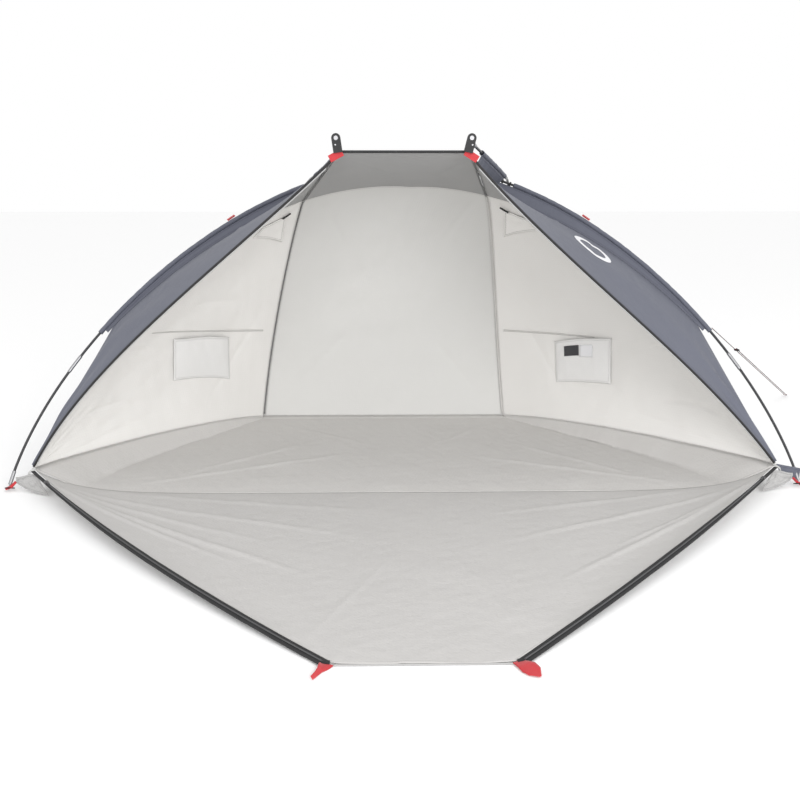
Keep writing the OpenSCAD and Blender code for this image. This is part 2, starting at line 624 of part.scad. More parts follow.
ridge_sleeve(RIGHT);  // ridge_sleeve_right
rear_sleeve(LEFT);  // rear_sleeve_left
rear_sleeve(RIGHT);  // rear_sleeve_right
floor_panel();
floor_lip(LEFT);  // floor_lip_left
floor_lip(RIGHT);  // floor_lip_right
corner_gusset(LEFT);  // corner_gusset_left
corner_gusset(RIGHT);  // corner_gusset_right
foot_straps();
door_panel();
zip_tape(LEFT);  // zip_tape_left
zip_tape(RIGHT);  // zip_tape_right
zip_slider(LEFT);  // zip_slider_left
zip_slider(RIGHT);  // zip_slider_right
stake_tab(LEFT);  // stake_tab_left
stake_tab(RIGHT);  // stake_tab_right
vent_meshes();
vent_flap(LEFT);  // vent_flap_left
vent_flap(RIGHT);  // vent_flap_right
pocket(LEFT);  // pocket_left
pocket(RIGHT);  // pocket_right
guy_line();
guy_slider();
guy_knot();
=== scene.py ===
"""Beach shelter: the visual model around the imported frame. Metres, +X right, +Y to the rear, +Z up."""
import math
import bpy
import numpy as np
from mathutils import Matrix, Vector


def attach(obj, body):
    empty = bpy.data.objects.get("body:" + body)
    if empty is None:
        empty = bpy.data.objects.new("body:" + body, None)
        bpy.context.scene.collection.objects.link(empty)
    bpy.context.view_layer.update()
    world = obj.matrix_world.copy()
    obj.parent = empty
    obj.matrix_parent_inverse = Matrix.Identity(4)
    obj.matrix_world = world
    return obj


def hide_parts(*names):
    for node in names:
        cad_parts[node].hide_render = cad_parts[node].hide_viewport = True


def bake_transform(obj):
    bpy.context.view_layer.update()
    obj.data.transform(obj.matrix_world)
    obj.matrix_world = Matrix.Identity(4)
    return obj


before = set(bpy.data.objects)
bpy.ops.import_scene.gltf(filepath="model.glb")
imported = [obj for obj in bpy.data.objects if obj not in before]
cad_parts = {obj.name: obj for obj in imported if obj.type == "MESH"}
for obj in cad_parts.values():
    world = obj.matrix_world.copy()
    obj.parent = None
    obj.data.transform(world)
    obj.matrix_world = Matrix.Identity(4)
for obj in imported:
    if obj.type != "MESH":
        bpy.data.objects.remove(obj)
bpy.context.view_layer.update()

LEFT, RIGHT = SIDES = -1, 1
NAMES = {LEFT: "left", RIGHT: "right"}
TURN = 2 * math.pi


# ---------------- vector helpers
def V(*a):
    return np.array(a, float)


def mix(a, b, t):
    """Points from a (t = 0) to b (t = 1)."""
    t = np.asarray(t, float)[..., None]
    return np.asarray(a, float) * (1 - t) + np.asarray(b, float) * t


def bezier(p, t):
    t = np.asarray(t, float)[..., None]
    return ((1 - t) ** 3 * p[0] + 3 * t * (1 - t) ** 2 * p[1] + 3 * t * t * (1 - t) * p[2] + t**3 * p[3])


def bezier_way(p, t):
    """Unit direction along the curve."""
    t = np.asarray(t, float)[..., None]
    return unit((1 - t) ** 2 * (p[1] - p[0]) + 2 * t * (1 - t) * (p[2] - p[1]) + t * t * (p[3] - p[2]))


def unit(v):
    return v / np.maximum(np.linalg.norm(v, axis=-1, keepdims=True), 1e-12)


def pick(side, pair):
    """The left or the right value of a pair."""
    return pair[0] if side < 0 else pair[1]


def arch(t):
    """0 at the ends of 0 to 1, and 1 in the middle."""
    return np.sin(t * math.pi)


def smooth(x, a, b):
    """0 at a, 1 at b, eased between them."""
    t = np.clip((x - a) / (b - a), 0, 1)
    return t * t * (3 - 2 * t)


def ripples(x, y, seed, size):
    """Smooth seeded unevenness of about -1 to 1, with folds of about that size in metres."""
    rng = np.random.default_rng(seed)
    total, waves, full_scale = 0, 7, 1.7
    for _ in range(waves):
        angle = rng.uniform(0, TURN)
        pitch = rng.uniform(0.6, 1.6) * 2 * math.pi / size
        start = rng.uniform(0, TURN)
        total = total + np.sin(pitch * (math.cos(angle) * x + math.sin(angle) * y) + start)
    return total / waves * full_scale


def crease(x, y, a, b, width, height):
    """A fold along the line from a to b, highest in the middle of its length."""
    d = V(*b) - V(*a)
    n = math.hypot(*d)
    s = ((x - a[0]) * d[0] + (y - a[1]) * d[1]) / n**2
    off = ((x - a[0]) * -d[1] + (y - a[1]) * d[0]) / n
    taper = arch(np.clip(s, 0, 1)) ** 0.7
    return height * taper * np.exp(-((off / width) ** 2))


def add_creases(folds, x, y, lines):
    """The folds with creases added; each line is x and y of both ends, width and height."""
    for x0, y0, x1, y1, width, height in lines:
        folds = folds + crease(x, y, (x0, y0), (x1, y1), width, height)
    return folds


# ---------------- lines of the shelter, as in the CAD model
HOOP = [V(1.432, 0), V(1.335, 0.490), V(0.665, 1.140), V(0, 1.140)]
LEAN = math.tan(math.radians(30))
HOOP_NORMAL = V(0, math.cos(math.radians(30)), -math.sin(math.radians(30)))
MOUTH_T, RIDGE_T = 0.36, (0.775, 0.835)     # where the wedges meet the hoop, and where the ridges cross it
SLEEVE_MOUTH, SLEEVE_END = 0.338, (0.786, 0.790)
HEM_Y, FOLD_Y, REAR_Y = -1.232, -0.050, 0.998
CORNER_X, CORNER_HEIGHT = 1.350, 0.070
REAR_LIFT = V(0, 0, 0.006)
TOP_BINDING = V(0, 0, 0.012)
DOOR_BLEND = ("shelter", "door", (0, -0.022, 0), (0, -0.104, 0))


def floor_corner(side):
    return V(side * CORNER_X, 0.020, CORNER_HEIGHT)


def top_corner(side):
    return V(side * 0.225 - 0.013, 0, 1.162)


def rear_corner(side):
    return V(side * 0.560 - 0.085, 1.000, 0)


def front_edge(side, t):
    a, b = floor_corner(side), top_corner(side)
    c = a + (b - a) / 3 + V(side * 0.125 - 0.039, 0.045, 0.020)
    d = a + (b - a) * 2 / 3 + V(side * -0.010 - 0.039, 0.070, 0)
    return bezier([a, c, d, b], t)


def hoop(side, t, out=0.0):
    flat, way = bezier(HOOP, t), bezier_way(HOOP, t)
    q = flat + np.asarray(out, float)[..., None] * np.stack([way[..., 1], -way[..., 0]], -1)
    return np.stack([side * q[..., 0] + 0.025 * (q[..., 1] / 1.05) ** 2, LEAN * q[..., 1], q[..., 1]], -1)


def seam_drop(side, t):
    return np.interp(t, [MOUTH_T, pick(side, RIDGE_T), 1], [0.022, pick(side, (0.052, 0.072)), 0.084])


def hoop_seam(side, t):
    return hoop(side, t, -seam_drop(side, t))


def ridge_corner(side):
    return hoop_seam(side, pick(side, RIDGE_T))


def outer_seam(side, t):
    t = np.asarray(t, float)
    low = mix(floor_corner(side), hoop_seam(side, MOUTH_T), np.clip(t / MOUTH_T, 0, 1))
    s = np.clip((t - MOUTH_T) / (1 - MOUTH_T), 0, 1)
    high = hoop_seam(side, MOUTH_T + (pick(side, RIDGE_T) - MOUTH_T) * s)
    return np.where((t < MOUTH_T)[..., None], low, high)


def wall_foot(side, t):
    a, b = floor_corner(side), rear_corner(side)
    c, d = a + (b - a) * 0.3 + V(0, 0, 0.030), a + (b - a) * 0.7 + V(0, 0, 0.050)
    return bezier([a, c, d, b + REAR_LIFT], t)


def rear_ridge(side, t):
    a, b = ridge_corner(side), rear_corner(side) + REAR_LIFT
    return bezier([a, a + V(side * 0.05, 0.19, -0.09), b + V(-side * 0.04, 0.06, 0.42), b], t)


def wall_point(side, a, b):
    base = mix(wall_foot(side, a), outer_seam(side, a), b)
    rear = mix(wall_foot(side, 1.0), outer_seam(side, 1.0), b)
    return base + a[..., None] * (rear_ridge(side, 1 - b) - rear)


def roof_rear(a):
    a = np.asarray(a, float)
    left = hoop_seam(LEFT, RIDGE_T[0] + (1 - RIDGE_T[0]) * np.clip(a * 2, 0, 1))
    right = hoop_seam(RIGHT, 1 + (RIDGE_T[1] - 1) * np.clip(a * 2 - 1, 0, 1))
    return np.where((a < 0.5)[..., None], left, right)


def front_top(a):
    return mix(top_corner(LEFT), top_corner(RIGHT), a) + TOP_BINDING


def rear_point(a, b):
    foot = mix(rear_corner(LEFT), rear_corner(RIGHT), a) + REAR_LIFT
    base = mix(foot, roof_rear(a), b)
    ends = []
    for side, end in ((LEFT, 0.0), (RIGHT, 1.0)):
        straight = mix(rear_corner(side) + REAR_LIFT, roof_rear(end), b)
        ends.append(rear_ridge(side, 1 - b) - straight)
    return base + (1 - a[..., None]) * ends[0] + a[..., None] * ends[1]


def crossing(side):
    return hoop(side, pick(side, (0.80, 0.805))) + V(0, 0.005, 0.018)


def crossing_way(side):
    return V(pick(side, (-0.105, 0.067)), 0.250, pick(side, (-0.060, -0.037)))


def ridge_front(side, t):
    a, b = V(side * 0.222 - 0.006, -0.014, 1.196), crossing(side)
    c = a + V(pick(side, (0, 0.040)), 0.150, pick(side, (-0.008, -0.020)))
    return bezier([a, c, b - crossing_way(side), b], t)


def ridge_rear(side, t):
    a, b = crossing(side), rear_corner(side) + V(side * 0.020, 0.026, 0.014)
    return bezier([a, a + crossing_way(side) * 1.15, b + V(-side * 0.048, 0.076, 0.520), b], t)


def roof_seam(side, y):
    a, b = top_corner(side), ridge_corner(side)
    return mix(a, b, np.asarray(y) / b[1])


HEM = {s: V(s * 0.222 + 0.008, HEM_Y, 0.002) for s in SIDES}
BOW = {LEFT: 0.042, RIGHT: 0.022}


def door_edge(side, t, out=0.0, up=0.0):
    """The zip's long arc, from the hem corner (0) to the floor corner (1)."""
    chord = floor_corner(side) - HEM[side]
    length = np.linalg.norm(chord)
    rise = unit(np.cross(np.cross(chord, V(0, 0, 1)), chord))
    across = side * unit(np.cross(chord, rise))
    radius = (length**2 / 4 + BOW[side] ** 2) / (2 * BOW[side])
    half = math.asin(length / 2 / radius)
    q = -half + 2 * half * np.asarray(t, float)[..., None]
    return (HEM[side] + chord / 2 + rise * up + across * ((radius + out) * np.cos(q) - radius + BOW[side])
            + unit(chord) * (radius + out) * np.sin(q))


# ---------------- materials
def material(name, base, rough=0.8, **sockets):
    m = bpy.data.materials.new(name)
    m.use_nodes = True
    p = m.node_tree.nodes["Principled BSDF"]
    p.inputs["Base Color"].default_value = (*base, 1)
    p.inputs["Roughness"].default_value = rough
    for k, v in sockets.items():
        p.inputs[k.replace("_", " ")].default_value = v
    return m


class Nodes:
    """Short ways to add and link shader nodes."""

    def __init__(self, m):
        self.t = m.node_tree
        self.p = self.t.nodes["Principled BSDF"]

    def add(self, kind, links=(), **values):
        """A shader node of that kind; values are its properties or its inputs, with _ for a space."""
        n = self.t.nodes.new("ShaderNode" + kind)
        for k, v in values.items():
            if k in n.bl_rna.properties:
                setattr(n, k, v)
            else:
                n.inputs[k.replace("_", " ")].default_value = v
        for socket, source in dict(links).items():
            self.t.links.new(source, n.inputs[socket])
        return n

    def math(self, op, a, b=None):
        n = self.add("Math", operation=op)
        for i, x in enumerate((a, b)):
            if x is None:
                continue
            if isinstance(x, (int, float)):
                n.inputs[i].default_value = x
            else:
                self.t.links.new(x, n.inputs[i])
        return n.outputs[0]

    def mix(self, factor, a, b):
        n = self.add("Mix", data_type="RGBA")
        for key, x in (("Factor", factor), ("A", a), ("B", b)):
            kind = "VALUE" if key == "Factor" else "RGBA"
            socket = [s for s in n.inputs if s.name == key and s.type == kind][0]
            if isinstance(x, (int, float)):
                socket.default_value = x
            elif isinstance(x, tuple):
                socket.default_value = (*x, 1)
            else:
                self.t.links.new(x, socket)
        return [s for s in n.outputs if s.type == "RGBA"][0]

    def noise(self, where, scale, detail, rough=0.5):
        node = self.add("TexNoise", {"Vector": where}, Scale=scale, Detail=detail, Roughness=rough)
        return node.outputs["Fac"]

    def bump(self, height, strength, distance, **normal):
        return self.add("Bump", {"Height": height, **normal}, Strength=strength, Distance=distance).outputs[0]

    def span(self, source, **limits):
        return self.add("MapRange", {"Value": source}, **limits).outputs[0]

    def link(self, source, socket):
        self.t.links.new(source, self.p.inputs[socket])


def shaded(base, factor):
    """The colour made darker or lighter."""
    return tuple(min(1, c * factor) for c in base)


def weave(n, pitch):
    """Height of a plain weave over the piece's own metre coordinates."""
    uv = n.add("UVMap", uv_map="metres").outputs[0]
    wave_length = 20
    waves = []
    for turn in (0, 90):
        turned = n.add("Mapping", {"Vector": uv}, Rotation=(0, 0, math.radians(turn)))
        waves.append(n.add("TexWave", {"Vector": turned.outputs[0]}, Scale=1 / (pitch * wave_length),
                           Distortion=0.4, wave_type="BANDS").outputs["Fac"])
    return n.math("MULTIPLY", waves[0], waves[1])


STITCH_IN, STITCH_HALF, STITCH_PITCH, STITCH_SHARE = 0.008, 0.0011, 0.0055, 0.7
HEM_FROM, HEM_TO = 0.011, 0.014


def cloth(name, base, shade=0.05, rough=0.75, pitch=0.0016, bump=0.25, stitch=None, sheen=0.1):
    """Coated woven cloth: weave, slow colour drift, fine creasing, and a stitched line near its edge."""
    m = material(name, base, rough, Sheen_Weight=sheen, Sheen_Roughness=0.5)
    n = Nodes(m)
    height = weave(n, pitch)
    where = n.add("TexCoord").outputs["Object"]
    drift = n.noise(where, 2.3, 3.0, 0.55)
    fine = n.noise(where, 38.0, 4.0, 0.6)
    colour = n.mix(drift, shaded(base, 1 - shade), shaded(base, 1 + shade))
    colour = n.mix(n.math("MULTIPLY", height, 0.12), colour, shaded(base, 0.8))
    if stitch:
        edge = n.add("Attribute", attribute_name="edge").outputs["Fac"]
        run = n.add("Attribute", attribute_name="run").outputs["Fac"]
        near = n.math("COMPARE", edge, STITCH_IN)
        near.node.inputs[2].default_value = STITCH_HALF
        dash = n.math("FRACT", n.math("MULTIPLY", run, 1 / STITCH_PITCH))
        dash = n.math("LESS_THAN", dash, STITCH_SHARE)
        colour = n.mix(n.math("MULTIPLY", near, dash), colour, stitch)
        inside = n.span(edge, From_Min=HEM_FROM, From_Max=HEM_TO)
        hem = n.math("MULTIPLY", n.math("SUBTRACT", 1.0, inside), 0.10)
        colour = n.mix(hem, colour, shaded(base, 0.55))
    n.link(colour, "Base Color")
    n.link(n.span(fine, To_Min=rough - 0.08, To_Max=rough + 0.08), "Roughness")
    n.link(n.bump(height, 0.35, 0.0004, Normal=n.bump(fine, bump, 0.004)), "Normal")
    return m


def webbing(name, base):
    """Ribbed webbing, with painted shade in its rib valleys and painted highlight spots."""
    m = material(name, base, 0.62, Sheen_Weight=0.2)
    n = Nodes(m)
    where = n.add("TexCoord").outputs["Object"]
    ribs = n.add("TexWave", {"Vector": where}, Scale=130.0, Distortion=0.6, wave_type="BANDS",
                 bands_direction="DIAGONAL").outputs["Fac"]
    highlight_spots = n.noise(where, 60.0, 3.0)
    # painted shade: the colour is darker in the low rib valleys, where the bump is low
    colour = n.mix(ribs, shaded(base, 0.72), base)
    # painted highlight: noise spots of a lighter red mixed into the webbing colour
    painted_highlight = tuple(min(1, c * 1.5 + 0.02) for c in base)
    colour = n.mix(n.math("MULTIPLY", highlight_spots, 0.25), colour, painted_highlight)
    n.link(colour, "Base Color")
    n.link(n.bump(ribs, 0.5, 0.0006), "Normal")
    return m


def rod_finish(name, base, rough, grain, metal=0.0):
    """Drawn rod or tube: fine lines and a little wear."""
    m = material(name, base, rough, Metallic=metal)
    n = Nodes(m)
    where = n.add("TexCoord").outputs["Object"]
    lines = n.noise(where, grain, 5.0, 0.7)
    n.link(n.mix(lines, shaded(base, 0.75), shaded(base, 1.25)), "Base Color")
    n.link(n.span(lines, To_Min=rough - 0.08, To_Max=rough + 0.12), "Roughness")
    n.link(n.bump(lines, 0.15, 0.0004), "Normal")
    return m


def braid(name, base, fleck):
    """Braided cord with flecks of a second colour."""
    m = material(name, base, 0.7)
    n = Nodes(m)
    where = n.add("TexCoord").outputs["Object"]
    cells = n.add("TexVoronoi", {"Vector": where}, Scale=260.0).outputs["Distance"]
    marks = n.add("TexWave", {"Vector": where}, Scale=14.0, Distortion=3.0, wave_type="BANDS",
                  bands_direction="X").outputs["Fac"]
    n.link(n.mix(n.math("GREATER_THAN", marks, 0.86), base, fleck), "Base Color")
    n.link(n.bump(cells, 0.6, 0.0006), "Normal")
    return m


CREAM = (0.820, 0.806, 0.782)
TAPE_PITCH, MAT_PITCH, MAT_STITCH = 0.0012, 0.0022, (0.42, 0.41, 0.40)
mats = {
    "outside": cloth("canopy_outside", (0.112, 0.119, 0.152), 0.10, 0.66, bump=0.30,
                     stitch=(0.07, 0.07, 0.10), sheen=0.04),
    "lining": cloth("canopy_lining", (0.325, 0.325, 0.324), 0.05, 0.7, bump=0.18, stitch=(0.2, 0.2, 0.2)),
    "wall": cloth("wall_inside", CREAM, 0.03, 0.78, bump=0.18, stitch=(0.64, 0.62, 0.60)),
    "rear": cloth("rear_inside", (0.665, 0.661, 0.644), 0.03, 0.78, bump=0.18, stitch=(0.5, 0.49, 0.47)),
    "mat": cloth("mat_top", (0.508, 0.496, 0.484), 0.04, 0.66, MAT_PITCH, 0.55, MAT_STITCH),
    "floor": cloth("floor_top", (0.585, 0.571, 0.555), 0.04, 0.66, MAT_PITCH, 0.55, MAT_STITCH),
    "tape": cloth("black_tape", (0.020, 0.020, 0.021), 0.15, 0.75, TAPE_PITCH, 0.3, sheen=0.0),
    "binding": cloth("grey_binding", (0.17, 0.17, 0.17), 0.1, 0.7, TAPE_PITCH, 0.3),
    "white": cloth("white_webbing", (0.50, 0.50, 0.49), 0.04, 0.7, TAPE_PITCH, 0.3),
    "red": webbing("red_webbing", (0.50, 0.016, 0.024)),
    "rod": rod_finish("fibreglass", (0.022, 0.022, 0.025), 0.34, 180.0),
    "metal": rod_finish("ferrule_metal", (0.36, 0.36, 0.37), 0.42, 240.0, 1.0),
    "plastic": rod_finish("moulded_black", (0.010, 0.010, 0.011), 0.6, 90.0),
    "enamel": rod_finish("zip_enamel", (0.10, 0.10, 0.105), 0.35, 120.0, 0.6),
    "coil": rod_finish("zip_coil", (0.075, 0.075, 0.078), 0.6, 400.0),
    "cord": braid("braided_cord", (0.012, 0.012, 0.014), (0.22, 0.014, 0.02)),
    "net": cloth("vent_net", (0.05, 0.05, 0.055), 0.1, 0.8, 0.0018, 0.6),
    "band": cloth("sleeve_cloth", (0.098, 0.104, 0.134), 0.10, 0.66, bump=0.3, stitch=(0.06, 0.06, 0.09),
                  sheen=0.04),
    "seam": cloth("pale_seam", (0.60, 0.59, 0.57), 0.04, 0.78, bump=0.2),
    "flap": cloth("flap_cloth", (0.84, 0.825, 0.80), 0.03, 0.78, bump=0.2, stitch=(0.36, 0.35, 0.33)),
    "gusset": cloth("gusset_cloth", (0.40, 0.395, 0.39), 0.12, 0.6, bump=0.5, stitch=(0.2, 0.2, 0.2)),
    "pocket": cloth("pocket_cloth", (0.815, 0.81, 0.80), 0.03, 0.78, bump=0.22, stitch=(0.62, 0.61, 0.60)),
    "pale_coil": cloth("pale_coil", (0.42, 0.42, 0.42), 0.05, 0.6, TAPE_PITCH, 0.4),
    "label": cloth("blank_label", (0.045, 0.045, 0.05), 0.1, 0.5, 0.001, 0.1),
    "print": material("plain_print", (0.80, 0.80, 0.82), 0.5),
}


# ---------------- mesh builders
UP = (0, 0, 1)


def new_mesh(name, verts, faces, materials, slots=None, uv=None, attributes=None):
    data = bpy.data.meshes.new(name)
    data.from_pydata([tuple(v) for v in verts], [], faces)
    for m in materials:
        data.materials.append(m)
    if slots is not None:
        data.polygons.foreach_set("material_index", np.asarray(slots, np.int32))
    if uv is not None:
        layer = data.uv_layers.new(name="metres")
        loops = np.empty(len(data.loops), np.int32)
        data.loops.foreach_get("vertex_index", loops)
        layer.data.foreach_set("uv", np.asarray(uv, np.float32)[loops].ravel())
    for key, values in (attributes or {}).items():
        data.attributes.new(key, "FLOAT", "POINT").data.foreach_set("value", np.asarray(values, np.float32))
    data.polygons.foreach_set("use_smooth", np.ones(len(faces), bool))
    data.update()
    obj = bpy.data.objects.new(name, data)
    bpy.context.scene.collection.objects.link(obj)
    return obj


def fasten(obj, body, nodes, blend=None):
    """Attach the piece to its body, or only bake its transform when it has a blend, and hide the CAD nodes
    that it stands for.
    """
    if blend:
        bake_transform(obj)
    else:
        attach(obj, body)
    if nodes:
        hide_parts(*nodes)


def grid_normals(p, flip=False):
    du, dv = np.gradient(p, axis=0), np.gradient(p, axis=1)
    n = unit(np.cross(du, dv))
    return -n if flip else n


def running(p, axis=0):
    """Length run along the axis of a grid of points, from 0."""
    steps = np.cumsum(np.linalg.norm(np.diff(p, axis=axis), axis=-1), axis)
    return np.concatenate([np.zeros_like(steps.take([0], axis)), steps], axis)


def panel(name, p, thick, front, back, nodes=(), body="shelter", flip=False, push=None,
          blend=None):
    """A closed sheet over the grid of points p. The side that its normal shows has the front material.
    push moves each point along the normal, for folds and wrinkles."""
    normal = grid_normals(p, flip)
    if push is not None:
        p = p + normal * push[..., None]
        normal = grid_normals(p, flip)
    n, m = p.shape[:2]
    top, low = (p + normal * thick / 2).reshape(-1, 3), (p - normal * thick / 2).reshape(-1, 3)
    count = n * m
    i, j = np.meshgrid(np.arange(n - 1), np.arange(m - 1), indexing="ij")
    a = (i * m + j).ravel()
    quad = np.stack([a, a + m, a + m + 1, a + 1], 1)
    rim = np.concatenate([np.arange(m), np.arange(1, n) * m + m - 1, (n - 1) * m + np.arange(m - 2, -1, -1),
                          np.arange(n - 2, 0, -1) * m])
    after = np.roll(rim, -1)
    side = np.stack([rim, after, after + count, rim + count], 1)
    if flip:
        quad, side = quad[:, ::-1], side[:, ::-1]
    under = quad[:, ::-1] + count
    faces = np.concatenate([quad, under, side]).tolist()
    slots = [0] * len(quad) + [1] * len(under) + [0] * len(side)
    u, v = running(p, 0), running(p, 1)
    gaps = np.stack([u, u[-1:] - u, v, v[:, -1:] - v])
    run = np.where(gaps.argmin(0) < 2, v, u)
    uv = np.stack([u.ravel(), v.ravel()], 1)
    seams = {"edge": np.tile(gaps.min(0).ravel(), 2), "run": np.tile(run.ravel(), 2)}
    obj = new_mesh(name, np.concatenate([top, low]), faces, [mats[front], mats[back]], slots,
                   np.concatenate([uv, uv]), seams)
    fasten(obj, body, nodes, blend)
    return obj


def grid(n, m, lo=(0, 0), hi=(1, 1)):
    return np.meshgrid(np.linspace(lo[0], hi[0], n), np.linspace(lo[1], hi[1], m), indexing="ij")


def frames(path, ref):
    """Two directions across the path at each point, the first at right angles to ref."""
    way = unit(np.gradient(path, axis=0))
    u = unit(np.cross(way, np.broadcast_to(ref, path.shape)))
    return u, np.cross(u, way)


def tube_faces(n, k):
    """Faces between n rings of k points each."""
    i, j = np.meshgrid(np.arange(n - 1), np.arange(k), indexing="ij")
    a, b = (i * k + j).ravel(), (i * k + (j + 1) % k).ravel()
    return np.stack([a, b, b + k, a + k], 1)


def sweep(name, path, outline, mat, nodes=(), ref=UP, body="shelter", scale=None):
    """An outline of (across, up) points swept along a path, and scaled by scale at each point."""
    path = np.asarray(path, float)
    u, v = frames(path, V(*ref))
    outline = np.broadcast_to(outline, (len(path), *outline.shape))
    if scale is not None:
        outline = outline * np.asarray(scale)[:, None, None]
    pts = path[:, None] + outline[..., :1] * u[:, None] + outline[..., 1:] * v[:, None]
    n, k = pts.shape[:2]
    faces = tube_faces(n, k).tolist() + [list(range(k))[::-1], [(n - 1) * k + q for q in range(k)]]
    uv = np.stack(np.meshgrid(running(path), running(outline[0]), indexing="ij"), -1).reshape(-1, 2)
    obj = new_mesh(name, pts.reshape(-1, 3), faces, [mats[mat]], None, uv)
    fasten(obj, body, nodes)
    return obj


def circle(r, n=20):
    a = np.arange(n) * 2 * math.pi / n
    return np.stack([r * np.cos(a), r * np.sin(a)], 1)


def rect(w, h, bevel=0.25):
    """A rectangle outline with cut corners."""
    b = min(w, h) * bevel
    x, y = w / 2, h / 2
    half = [(x, -y + b), (x, y - b), (x - b, y), (-x + b, y)]
    return np.array(half + [(-i, -j) for i, j in half])


def bevelled(obj, width):
    b = obj.modifiers.new("bevel", "BEVEL")
    b.width, b.segments, b.limit_method = width, 2, "ANGLE"


def stretch(p, s0, s1, n):
    """n + 1 points of the polyline p between the running lengths s0 and s1."""
    s = np.linspace(s0, s1, n + 1)
    return np.stack([np.interp(s, running(p), p[:, k]) for k in range(3)], 1)


def eased(p, times):
    """The polyline with its corners softened."""
    for _ in range(times):
        p[1:-1] = (p[:-2] + 2 * p[1:-1] + p[2:]) / 4
    return p


# ---------------- camera
cam_data = bpy.data.cameras.new("camera")
cam_data.lens, cam_data.sensor_width = 40.8, 36.0
camera = bpy.data.objects.new("camera", cam_data)
camera.location = (-0.0798, -3.1091, 1.08)
camera.rotation_euler = (math.radians(76.4), 0, math.radians(-1.0))
bpy.context.scene.collection.objects.link(camera)
bpy.context.scene.camera = camera

# ---------------- guy line
CORD_D = 0.003
GUY_START = hoop(RIGHT, SLEEVE_MOUTH + 0.002, 0.013)
GUY_END = V(1.970, 1.390, 0.015)
GUY_WAY = unit(GUY_END - GUY_START)
GUY_SIDE = unit(np.cross(GUY_WAY, V(*UP)))
GUY_GAP = 0.009                  # between the line and its return
GUY_SLIDER_AT = 0.27             # share of the line above the slider
LOOP = [(-0.006, 0.008), (-0.008, 0.015), (-0.008, 0.022), (-0.0056, 0.028), (0, 0.030),
        (0.0056, 0.028), (0.008, 0.022), (0.008, 0.015), (0.006, 0.008)]
guy_return = mix(GUY_START, GUY_END, GUY_SLIDER_AT) + GUY_SIDE * GUY_GAP - GUY_WAY * 0.016
guy_route = ([mix(GUY_START, GUY_END, i / 11) for i in range(12)]
             + [GUY_END + GUY_SIDE * (GUY_GAP / 2 + x) + GUY_WAY * y for x, y in LOOP]
             + [mix(GUY_END + GUY_SIDE * GUY_GAP, guy_return, i / 8) for i in range(9)])


def guy_cord():
    route, step = np.array(guy_route), 0.0025
    total = float(running(route)[-1])
    fine = eased(stretch(route, 0, total, int(total / step)), 2)
    obj = sweep("guy_cord", fine, circle(CORD_D / 2, 10), "cord", ["guy_line"],
                np.cross(GUY_WAY, GUY_SIDE))
    knot_at, knot_length, knot_r, knot_turns = guy_return - GUY_WAY * 0.0042, 0.0048, 0.0021, 2.4
    turns = np.linspace(0, TURN * knot_turns, 60)
    loops = [knot_at + GUY_WAY * (-knot_length / 2 + knot_length * i / 59) + knot_r * (math.cos(a) * GUY_SIDE
             + math.sin(a) * np.cross(GUY_SIDE, GUY_WAY)) for i, a in enumerate(turns)]
    knot = sweep("guy_stopper_knot", loops, circle(0.0014, 10), "cord", ["guy_knot"], GUY_WAY)


guy_cord()

# ---------------- canopy
CLOTH = 0.0011
ROOF_CREASES = ((-0.22, 0.02, 0.05, 0.10, 0.012, 0.0022), (0.20, 0.02, -0.04, 0.14, 0.012, 0.0020),
                (-0.23, 0.05, -0.05, 0.30, 0.012, 0.0018), (0.22, 0.06, 0.12, 0.34, 0.012, 0.0016),
                (-0.10, 0.03, 0.14, 0.05, 0.012, 0.0014))
SIDE_CREASES = ((0.30, 0.45, 0.62, 0.22, 0.016, 0.006), (0.45, 0.75, 0.75, 0.48, 0.016, 0.005),
                (0.95, 0.62, 1.25, 0.50, 0.016, 0.004), (0.20, 0.10, 0.70, 0.12, 0.016, 0.005),
                (1.05, 0.10, 1.38, 0.42, 0.016, 0.005), (0.62, 0.66, 0.80, 0.40, 0.016, -0.005))
REAR_CREASES = ((0.06, 1.24, 0.30, 0.80, 0.018, 0.005), (1.04, 1.24, 0.80, 0.85, 0.018, 0.005),
                (0.05, 0.05, 0.35, 0.40, 0.018, 0.005), (1.05, 0.05, 0.78, 0.36, 0.018, 0.005),
                (0.42, 1.27, 0.48, 1.00, 0.018, 0.003))
VENT = ((0.845, 0.85), (0.955, 0.735), (0.952, 0.905), (0.875, 0.90))
VENT_HOLE = ((0.862, 0.855), (0.948, 0.768), (0.945, 0.892), (0.882, 0.887))


def build_roof():
    a, b = grid(61, 71)
    front = front_top(a) - TOP_BINDING + np.stack([0 * a, 0 * a, 0.012 * arch(a) ** 0.3], -1)
    p = mix(front, roof_rear(a), b)
    sag = -0.012 * arch(a) * arch(b)
    folds = 0.0016 * ripples(a * 0.5, b * 0.65, 3, 0.16) * arch(b)
    folds = add_creases(folds, p[..., 0], p[..., 1], ROOF_CREASES)
    panel("roof_cloth", p, CLOTH, "outside", "lining", ["roof_panel"], push=sag + folds)


def wall_in(side, a, b):
    """Direction into the shelter at a point of a side wall."""
    a, b, e = np.asarray(a, float), np.asarray(b, float), 0.01
    return -side * unit(np.cross(wall_point(side, a + e, b) - wall_point(side, a - e, b),
                                 wall_point(side, a, b + e) - wall_point(side, a, b - e)))


def patch(side, q, c, d, inward):
    """Point (c, d) of a four-sided patch on a side wall, moved into the shelter."""
    q = [V(*k) for k in q]
    ab = mix(mix(q[0], q[1], c), mix(q[3], q[2], c), d)
    a, b = ab[..., 0], ab[..., 1]
    return wall_point(side, a, b) + wall_in(side, a, b) * np.asarray(inward)[..., None]


